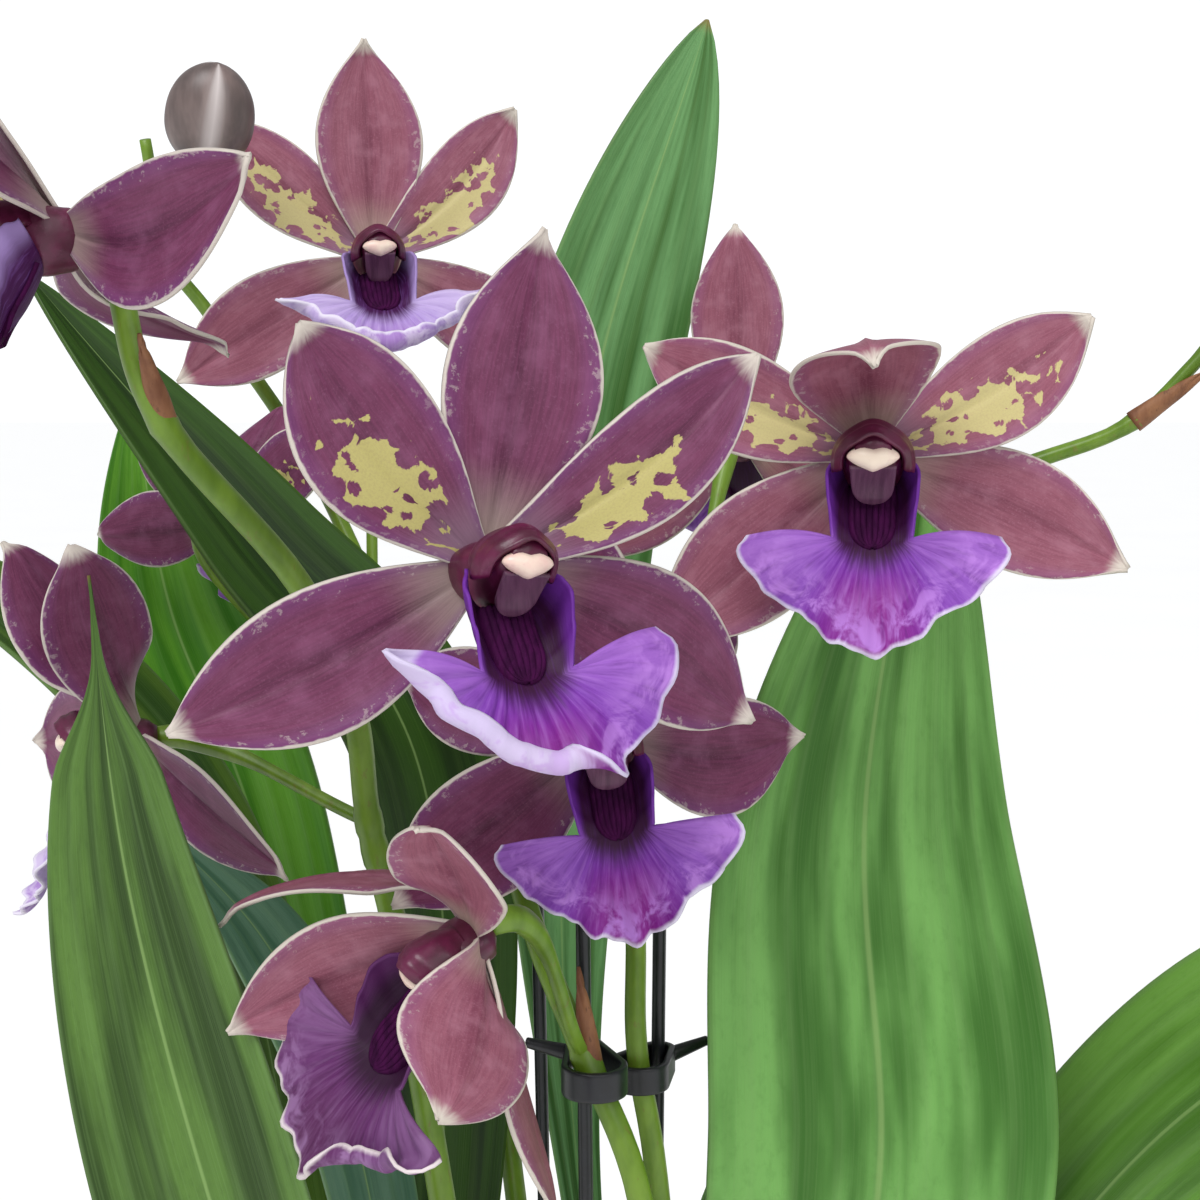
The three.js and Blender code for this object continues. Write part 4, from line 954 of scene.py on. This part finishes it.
def hood(size):
    """The glossy hood that rounds over the end of the column, with a wing down each side."""
    def lay(s, t):
        angle = math.radians(100) * t
        peak = 0.9 * math.exp(-(t / 0.26) ** 2) * s
        depth = 3.0 + 11.4 * s - 4.0 * abs(t) ** 1.8 * s
        drop = 2.0 * abs(t) ** 3 * smooth(s, 0.2, 0.8)
        return Vector((table(HOOD_WIDTH, s) * math.sin(angle),
                       (table(HOOD_HEIGHT, s) + peak) * math.cos(angle) - drop + 0.2, depth)) * size

    piece = grid(lambda s, t: lay(s, -t), across=40, along=30)
    thicken(piece, CORE_THICKNESS, rim=False)
    return piece


def anther_cap(size):
    """The two-lobed cream cap under the hood."""
    deselect()
    bpy.ops.mesh.primitive_uv_sphere_add(segments=32, ring_count=20, radius=1)
    piece = bpy.context.object
    for vertex in piece.data.vertices:
        x, y, z = vertex.co
        dip = 0.3 * math.exp(-(x / 0.25) ** 2) * max(y, 0)
        beak = 0.35 * math.exp(-(x / 0.3) ** 2) * max(-y, 0)
        vertex.co = Vector((3.5 * x * (1 - 0.3 * max(-y, 0)), 1.65 * (y - dip - beak * 0.5) - 0.4,
                            1.7 * z + 0.5 * beak + 12.7)) * (size * MM)
    return piece


def flower_axes(facts):
    """A flower's right, its up and the way it looks."""
    turn, tilt, roll = (math.radians(facts[key]) for key in ("turn", "tilt", "roll"))
    out = Vector((math.sin(turn) * math.cos(tilt), -math.cos(turn) * math.cos(tilt), math.sin(tilt)))
    up = (UP - out * out.z).normalized()
    right = up.cross(out)
    return (right * math.cos(roll) - up * math.sin(roll), up * math.cos(roll) + right * math.sin(roll), out)


def flower(name, facts, draw):
    """Tepals, column and lip of one flower, made in its own frame and turned to its place."""
    turned = Matrix(flower_axes(facts)).transposed().to_4x4()
    turned.translation = Vector(facts["at"]) * MM
    size, lip_size = facts["size"], facts["lip"]
    core_size = lip_size * facts["core"]
    skins = TEPAL_SKINS[facts["shade"]]
    left_sepal, left_petal, top_sepal, right_petal, right_sepal = facts["tepals"]
    sepals = [paint(tepal(kind, blade_facts, size, draw), skins["sepal"], skins["back"], TEPAL_EDGE)
              for kind, blade_facts in ((SEPAL, left_sepal), (TOP_SEPAL, top_sepal), (SEPAL, right_sepal))]
    petals = [paint(tepal(PETAL, blade_facts, size, draw),
                    skins["sepal" if blade_facts["plain"] else "petal"], skins["back"], TEPAL_EDGE)
              for blade_facts in (left_petal, right_petal)]
    made = [(joined(sepals, name + "_sepals"), "tepals", [name]),
            (joined(petals, name + "_petals"), "tepals", [])]
    body = [paint(column(core_size), HOOD), paint(plate(core_size), PLATE, PLATE)]
    core = [(joined(body, name + "_column"), "tepals", []),
            (joined([paint(hood(core_size), HOOD, HOOD)], name + "_hood"), "tepals", []),
            (joined([paint(anther_cap(core_size), CAP)], name + "_anther_cap"), "tepals", [])]
    ridges = paint(callus(lip_size), CALLUS, CALLUS)
    lip_blade = paint(lip(facts, draw), LIP_FRONTS[facts["fan"]], LIP_BACKS[facts["fan"]], LIP_EDGE)
    mouth = [(joined([ridges], name + "_callus"), "lip", []),
             (joined([lip_blade], name + "_lip_blade"), "lip", [name + "_lip"])]
    for piece, _, _ in mouth:
        piece.data.transform(Matrix.Translation(Vector(facts["shift"]) * MM) @ lip_turn(facts))
    for piece, _, _ in core + mouth:
        piece.data.transform(Matrix.Rotation(math.radians(facts["yaw"]), 4, "Y"))
    for piece, slot, nodes in made + core + mouth:
        piece.data.transform(turned)
        settle(piece, slot, *nodes)


def leaf(name, facts, draw):
    """A pleated blade round its midrib."""
    peak, width, pleats, blunt = (facts[key] for key in ("peak", "width", "pleats", "blunt"))
    face = Vector(facts["face"])
    relief = LEAF_RELIEF
    steps = 90
    frames = []
    for k in range(steps + 1):
        along = direction_at(facts["rib"], k / steps)
        side = along.cross(face).normalized()
        frames.append((curve_at(facts["rib"], k / steps), side, side.cross(along).normalized()))

    def lay(s, t):
        middle, side, normal = frames[round(s * steps)]
        share = outline(s, blunt * peak / (1 - peak), blunt)
        half = max(TIP_HALF, width / 2 * share + relief["foot"] * (1 - s) ** 4)
        half *= 1 - facts.get("point", 0) * smooth(s, 0.83, 0.94)
        crease = facts["fold"] + relief["gutter"] * (1 - s) ** 4
        waved = facts["wave"] * math.sin(9 * s + 1.5 * t) * t * t * share
        pleat = relief["pleat"] * (half / relief["usual_half"]) * abs(math.sin(math.pi * pleats * t))
        pleat *= smooth(s, 0.05, 0.3)
        pleat *= smooth(s, 1, 0.75) * smooth(abs(t), 1, 0.8)
        rounded = abs(t) - relief["rounding"] * (1 - math.exp(-abs(t) / relief["rounding"]))
        lift = crease * rounded * half + waved - pleat
        return middle + side * (t * half) + normal * lift

    piece = grid(lay, across=36, along=steps)
    thicken(piece, LEAF_THICKNESS)
    seed(piece, draw.random())
    greens = {**GREEN, "Pleats": float(pleats)}
    greens.update(palette(**{key: facts[key] for key in ("deep", "fresh", "light") if key in facts}))
    front = material(name + "_face", LEAF_GROUP, greens, 0.42, bump=0.25, shader=WAXY)
    back = material(name + "_back", LEAF_GROUP, {**greens, "Deep": greens["Fresh"]}, 0.55, bump=0.35,
                    shader=WAXY)
    settle(joined([paint(piece, front, back, front)], name + "_blade"), "leaf", name)


def stalk(spike_name, place, end, out):
    """A flower's stalk, thicker at the ovary."""
    start = curve_at(SPIKES[spike_name]["stem"], place)
    reach = (end - start).length
    corners = [start, start.lerp(end, 0.3), end - out * (reach * 0.28), end]

    def bezier(points, t):
        a, b, c, d = points
        u = 1 - t
        return a * u ** 3 + b * (3 * u * u * t) + c * (3 * u * t * t) + d * t ** 3

    def radius_at(s):
        return 0.95 + 0.7 * smooth(s, 0.45, 0.8) - 0.3 * smooth(s, 0.93, 1)

    return rod(corners, radius_at, sides=18, rings=36, curve=bezier, ridge=0.05)


def bract(spike_name, place, way, length, draw):
    """A dry papery bract that wraps the stem at its foot and points away at its tip."""
    stem_points = SPIKES[spike_name]["stem"]
    start = curve_at(stem_points, place)
    stem = direction_at(stem_points, place)
    along = (stem + Vector(way).normalized() * 0.35).normalized()
    right = Vector((0, 1, 0.1)).cross(along).normalized()
    up = along.cross(right)
    bend = draw.uniform(-1, 1)

    def lay(s, t):
        half = 1.4 * (1 - s) ** 0.6 + 0.15
        angle = math.radians(30 + 100 * (1 - s)) * t
        lift = 0.06 * math.sin(12 * s + 5 * t + bend) * length * s
        middle = start + along * (length * s) + up * (0.9 * s * s * bend + lift * 0.2)
        return middle + right * (half * math.sin(angle)) - up * (half * math.cos(angle) * 0.8)

    piece = grid(lay, across=12, along=20)
    thicken(piece, PAPER_THICKNESS, rim=False)
    return piece


def spike(name, draw):
    """A stem that swells at its nodes, with the stalks of its flowers and buds and its dry bracts."""
    stem, (low, high) = SPIKES[name]["stem"], SPIKES[name]["radius"]
    own_bracts = [row for row in BRACTS if row[0] == name]
    own_flowers = [facts for facts in FLOWERS.values() if facts["from"][0] == name]
    own_buds = [facts for facts in BUDS.values() if facts["from"][0] == name]
    knots = [row[1] for row in own_bracts] + [facts["from"][1] for facts in own_flowers]

    def radius_at(s):
        swell = sum(0.35 * math.exp(-((s - knot) / 0.008) ** 2) for knot in knots)
        return low + (high - low) * s + swell

    stems = [rod(stem, radius_at, sides=20, rings=160, ridge=0.035)]
    for facts in own_flowers:
        out = flower_axes(facts)[2]
        end = Vector(facts["at"]) - out * (STALK_GAP - STALK_OVERLAP)
        stems.append(stalk(name, facts["from"][1], end, out))
    for facts in own_buds:
        out = Vector(facts["tip"]).normalized()
        end = Vector(facts["at"]) - out * (facts["length"] / 2 - STALK_OVERLAP)
        stems.append(stalk(name, facts["from"][1], end, out))
    for piece in stems:
        paint(piece, STEM)
    bracts = [paint(bract(*row, draw), BRACT, BRACT) for row in own_bracts]
    settle(joined(stems, name + "_stem"), "spike", name)
    settle(joined(bracts, name + "_bracts"), "spike")


def bud(name, facts):
    """A closed flower with three long seams, and pale stripes of painted highlight along them."""
    tip = Vector(facts["tip"]).normalized()
    turned = UP.rotation_difference(tip).to_matrix().to_4x4()
    turned.translation = Vector(facts["at"]) * MM
    first_seam = math.radians(-74)

    def lay(s, angle):
        share = max(1 - abs(2 * s - 1) ** 2.2, 0.01) ** 0.55 * (1 - 0.1 * s)
        seam = 0.05 * math.exp(-(math.sin(1.5 * (angle - first_seam)) / 0.16) ** 2)
        radius = facts["radius"] * share * (1 - seam)
        return Vector((radius * math.cos(angle), 0.86 * radius * math.sin(angle),
                       (s - 0.5) * facts["length"]))

    piece = paint(tube(lay, sides=48, rings=40), BUD)
    # The kept numbers mark where the pale stripes of painted highlight lie along the seams.
    stripes = piece.data.attributes.new("seed", "FLOAT", "POINT")
    for vertex, stripe in zip(piece.data.vertices, stripes.data):
        angle = math.atan2(vertex.co.y, vertex.co.x)
        stripe.value = math.exp(-(math.sin(1.5 * (angle - first_seam)) / 0.3) ** 2)
    piece.data.transform(turned)
    settle(joined([piece], name + "_closed"), "bud", name)


BULB_SWELL = [(0, 0.5), (0.14, 0.86), (0.35, 1), (0.6, 0.9), (0.82, 0.6), (1, 0.3)]


def pseudobulb(name, facts, draw):
    """A furrowed swollen stem base, and the dry sheath round its lower half."""
    height = facts["height"]
    broad = BULB["radius"] * (height / BULB["height"]) ** 0.5

    def middle_at(s):
        return Vector((facts["at"][0] + facts["lean"][0] * s, facts["at"][1] + facts["lean"][1] * s,
                       BARK_LEVEL - BULB["foot"] + height * s))

    def lay(s, angle):
        ribs = 0.035 * math.cos(9 * angle) + 0.02 * math.cos(17 * angle + 1)
        radius = broad * table(BULB_SWELL, s) * (1 + ribs * math.sin(math.pi * s))
        return middle_at(s) + Vector((radius * math.cos(angle), radius * math.sin(angle), 0))

    flesh = paint(tube(lay, sides=72, rings=40), BULB_SKIN)
    settle(joined([flesh], "pseudobulb_" + name + "_flesh"), "pseudobulb", "pseudobulb_" + name)
    phase, top = draw.uniform(0, FULL_TURN), draw.uniform(0.42, 0.6)

    def wrap(s, t):
        angle = math.pi * 0.86 * t + phase
        ragged = 0.06 * math.sin(7 * t + phase) + 0.04 * math.sin(23 * t)
        place = 0.12 + (top + ragged * s - 0.3 * abs(t) ** 3 - 0.12) * s
        flare = 0.5 + 0.9 * s * s + 0.25 * math.sin(30 * t) * s
        radius = broad * table(BULB_SWELL, place) + flare
        return middle_at(place) + Vector((radius * math.cos(angle), radius * math.sin(angle), 0))

    sheath = grid(wrap, across=60, along=16)
    thicken(sheath, PAPER_THICKNESS, rim=False)
    settle(joined([paint(sheath, SHEATH, SHEATH)], "pseudobulb_" + name + "_sheath"), "pseudobulb")


def lathe(profile, sides):
    """A ring extruded and scaled through a profile of (radius, z), as on a wheel."""
    deselect()
    radius, z = profile[0]
    bpy.ops.mesh.primitive_circle_add(vertices=sides, radius=radius * MM, location=(0, 0, z * MM),
                                      fill_type="NGON")
    piece = bpy.context.object
    bpy.ops.object.transform_apply(location=True)
    bpy.ops.object.mode_set(mode="EDIT")
    bpy.ops.mesh.select_mode(type="FACE")
    bpy.ops.mesh.select_all(action="SELECT")
    for next_radius, next_z in profile[1:]:
        bpy.ops.mesh.extrude_region_move(TRANSFORM_OT_translate={"value": (0, 0, (next_z - z) * MM)})
        share = next_radius / radius
        bpy.ops.transform.resize(value=(share, share, 1), center_override=(0, 0, next_z * MM))
        radius, z = next_radius, next_z
    bpy.ops.mesh.select_all(action="SELECT")
    bpy.ops.mesh.normals_make_consistent(inside=False)
    bpy.ops.object.mode_set(mode="OBJECT")
    return piece


def pot_slope():
    """How much the pot's side widens for each millimetre of height."""
    return (POT["top"] - POT["rim_out"] - POT["base"]) / POT["height"]


def pot():
    """A tapered clay pot with a rolled rim and drain holes."""
    height, top, base, wall = POT["height"], POT["top"], POT["base"], POT["wall"]
    slope = pot_slope()
    under = height - POT["rim_height"]

    def inside(z):
        return base - wall + slope * z

    profile = [(base - 3, 0), (base - 1, 0.5), (base, 2)]
    profile += [(base + slope * z, z) for z in range(6, int(under), 6)]
    profile += [(base + slope * under, under), (top - 1.6, under + 0.3), (top - 0.7, under + 1.2),
                (top - 0.3, under + 5), (top, height - 5), (top, height - 2.5), (top - 0.6, height - 0.8),
                (top - 1.8, height), (inside(height) + 1.2, height), (inside(height) + 0.2, height - 0.8),
                (inside(height), height - 3), (inside(BARK_LEVEL), BARK_LEVEL),
                (inside(POT["floor"]), POT["floor"] + 2), (inside(POT["floor"]) - 2, POT["floor"])]
    piece = lathe(profile, 128)
    for i in range(DRAIN["count"]):
        angle = (i + 0.5) * 2 * math.pi / DRAIN["count"]
        place = (DRAIN["ring"] * math.cos(angle) * MM, DRAIN["ring"] * math.sin(angle) * MM, 0)
        deselect()
        bpy.ops.mesh.primitive_cylinder_add(vertices=32, radius=DRAIN["radius"] * MM,
                                            depth=POT["floor"] * 4 * MM, location=place)
        cutter = bpy.context.object
        deselect()
        modify(piece, "BOOLEAN", object=cutter, operation="DIFFERENCE")
        bpy.data.objects.remove(cutter)
    whole = joined([paint(piece, CLAY)], "pot_clay")
    bpy.ops.object.shade_smooth_by_angle(angle=math.radians(40))
    settle(whole, "terracotta", "pot")


def bark(draw):
    """Broken bark heaped to the level of the pot's rim, over a solid filling."""
    radius = POT["base"] - POT["wall"] + pot_slope() * BARK_LEVEL - 1
    low = POT["base"] - POT["wall"] - 1
    filling = lathe([(low - 1, POT["floor"] + 0.4), (low, POT["floor"] + 1.5),
                     (radius, BARK_LEVEL - 4), (radius - 2, BARK_LEVEL - 2.6)], 64)
    masters = []
    for _ in range(CHIPS["kinds"]):
        deselect()
        bpy.ops.mesh.primitive_cube_add(size=1)
        chip = bpy.context.object
        bpy.ops.object.mode_set(mode="EDIT")
        bpy.ops.mesh.subdivide(number_cuts=2)
        bpy.ops.object.mode_set(mode="OBJECT")
        for vertex in chip.data.vertices:
            x, y, z = vertex.co
            taper = 1 - 0.35 * abs(x) - 0.25 * draw.random()
            vertex.co = (x * (1 - 0.3 * abs(y)) + draw.uniform(-0.07, 0.07), y * taper,
                         z * taper + 0.35 * x * y + draw.uniform(-0.1, 0.1))
        masters.append(chip)
    chips = [filling]
    for i in range(CHIPS["count"]):
        distance = math.sqrt((i + 0.5) / CHIPS["count"]) * (radius - 4)
        angle = i * GOLDEN_ANGLE + draw.uniform(-0.2, 0.2)
        place = Vector((distance * math.cos(angle), distance * math.sin(angle),
                        BARK_LEVEL + draw.uniform(-3, 2.5)))
        crowded = any((Vector(facts["at"]) - place.xy).length < CHIPS["room"] for facts in BULBS.values())
        if crowded and draw.random() < CHIPS["left_out"]:
            continue
        chip = draw.choice(masters).copy()
        chip.data = chip.data.copy()
        bpy.context.scene.collection.objects.link(chip)
        sizes = Vector((draw.uniform(8, 17), draw.uniform(5, 10), draw.uniform(2.5, 5.5))) * MM
        pitch = Matrix.Rotation(draw.uniform(-0.5, 0.5), 4, "X")
        tilt = pitch @ Matrix.Rotation(draw.uniform(-0.4, 0.4), 4, "Y")
        turn = Matrix.Rotation(draw.uniform(0, math.pi), 4, "Z")
        chip.data.transform(Matrix.Translation(place * MM) @ turn @ tilt @ Matrix.Diagonal((*sizes, 1)))
        chips.append(chip)
    for master in masters:
        bpy.data.objects.remove(master)
    for chip in chips:
        paint(chip, BARK)
    whole = joined(chips, "bark_chips", smooth_faces=False)
    bpy.ops.object.shade_smooth_by_angle(angle=math.radians(35))
    settle(whole, "bark", "bark")


def point_at_height(points, z, curve):
    """The point of a rising curve at a height."""
    low, high = 0.0, 1.0
    for _ in range(40):
        middle = (low + high) / 2
        if curve(points, middle).z < z:
            low = middle
        else:
            high = middle
    return curve(points, low)


def line_at(points, place):
    """A point of the straight line between two points."""
    return Vector(points[0]).lerp(Vector(points[1]), place)


def stake(name, ends):
    """A straight black stake with a blunt point at its top."""
    piece = rod(ends, lambda s: STAKE_RADIUS * (1 - 0.7 * smooth(s, 0.99, 1)), sides=20, rings=30,
                curve=line_at)
    settle(joined([paint(piece, BLACK)], name + "_rod"), "stake", name)


def clip(name, facts):
    """A band drawn tight round a stake and a stem, with a finger at the stake."""
    stake_at = point_at_height(STAKES[facts["stake"]], facts["z"], line_at)
    stem_at = point_at_height(SPIKES[facts["spike"]]["stem"], facts["z"], curve_at)
    span = (stem_at - stake_at).length
    turn = math.atan2(stem_at.y - stake_at.y, stem_at.x - stake_at.x)
    touch = math.acos((CLIP["stake_hollow"] - CLIP["stem_hollow"]) / span)
    height = CLIP["height"]

    def lay(s, angle):
        at_stem = abs(angle) < touch
        middle = span if at_stem else 0
        radius = (CLIP["stem_hollow"] if at_stem else CLIP["stake_hollow"]) + CLIP["wall"] / 2
        return Vector((middle + radius * math.cos(angle), radius * math.sin(angle), (s - 0.5) * height))

    band = tube(lay, sides=72, rings=6)
    pick(band, "FACE", lambda face: abs(face.normal.z) > 0.9)
    bpy.ops.mesh.delete(type="ONLY_FACE")
    bpy.ops.object.mode_set(mode="OBJECT")
    thicken(band, CLIP["wall"], rim=False)
    tail = math.radians(facts["tail"]) - turn
    way = Vector((math.cos(tail), math.sin(tail), 0.25))
    start = way * (CLIP["stake_hollow"] + 0.5)

    def finger(points, place):
        return start + way * (CLIP["tail"] * place)

    arm = rod([], lambda s: 1.15 - 0.45 * s, sides=16, rings=12, curve=finger)
    whole = joined([paint(band, BLACK, BLACK), paint(arm, BLACK)], name + "_band")
    turned = Matrix.Rotation(turn, 4, "Z")
    turned.translation = stake_at * MM
    whole.data.transform(turned)
    modify(whole, "BEVEL", width=0.25 * MM, segments=2, angle_limit=math.radians(40))
    bpy.ops.object.shade_smooth_by_angle(angle=math.radians(45))
    settle(whole, "clip", name)


def radians(turn):
    """A turn about x, y and z, from degrees."""
    return [math.radians(angle) for angle in turn]


def studio():
    """Pale floor, soft light and the camera at the photo's place."""
    deselect()
    bpy.ops.mesh.primitive_plane_add(size=FLOOR["size"])
    floor = bpy.context.object
    floor.name = "floor"
    paint(floor, grained("pale_floor", 4.0, (252, 252, 252), (250, 250, 250), 0.9, bump=0.0, shader={
        "Emission Color": WHITE, "Emission Strength": FLOOR["glow"]}))
    world = bpy.data.worlds.new("soft_white")
    bpy.context.scene.world = world
    world.use_nodes = True
    graph = Graph(world.node_tree)
    sky = world.node_tree.nodes["Background"]
    sky.inputs["Color"].default_value = SKY["colour"]
    seen = graph.node("ShaderNodeLightPath").outputs["Is Camera Ray"]
    graph.feed(sky.inputs["Strength"], graph.times_plus(seen, SKY["seen"], SKY["light"]))
    bpy.ops.object.light_add(type="SUN", location=SUN["at"])
    sun = bpy.context.object
    sun.data.energy = SUN["energy"]
    sun.data.angle = math.radians(SUN["angle"])
    sun.rotation_euler = radians(SUN["turn"])
    bpy.ops.object.light_add(type="AREA", location=FILL["at"])
    fill = bpy.context.object
    fill.data.energy = FILL["energy"]
    fill.data.size = FILL["size"]
    fill.rotation_euler = radians(FILL["turn"])
    bpy.ops.object.camera_add(location=CAMERA["at"], rotation=radians(CAMERA["turn"]))
    camera = bpy.context.object
    camera.data.angle = math.radians(CAMERA["angle"])
    camera.data.clip_start = CAMERA["nearest"]
    bpy.context.scene.camera = camera
    bpy.context.scene.view_settings.view_transform = "Standard"


draws = random.Random(11)
studio()
pot()
bark(draws)
for bulb_name, bulb_facts in BULBS.items():
    pseudobulb(bulb_name, bulb_facts, draws)
for leaf_name, leaf_facts in LEAVES.items():
    leaf(leaf_name, leaf_facts, draws)
for spike_name in SPIKES:
    spike(spike_name, draws)
for flower_name, flower_facts in FLOWERS.items():
    flower(flower_name, flower_facts, draws)
for bud_name, bud_facts in BUDS.items():
    bud(bud_name, bud_facts)
for stake_name, stake_ends in STAKES.items():
    stake(stake_name, stake_ends)
for clip_name, clip_facts in CLIPS.items():
    clip(clip_name, clip_facts)
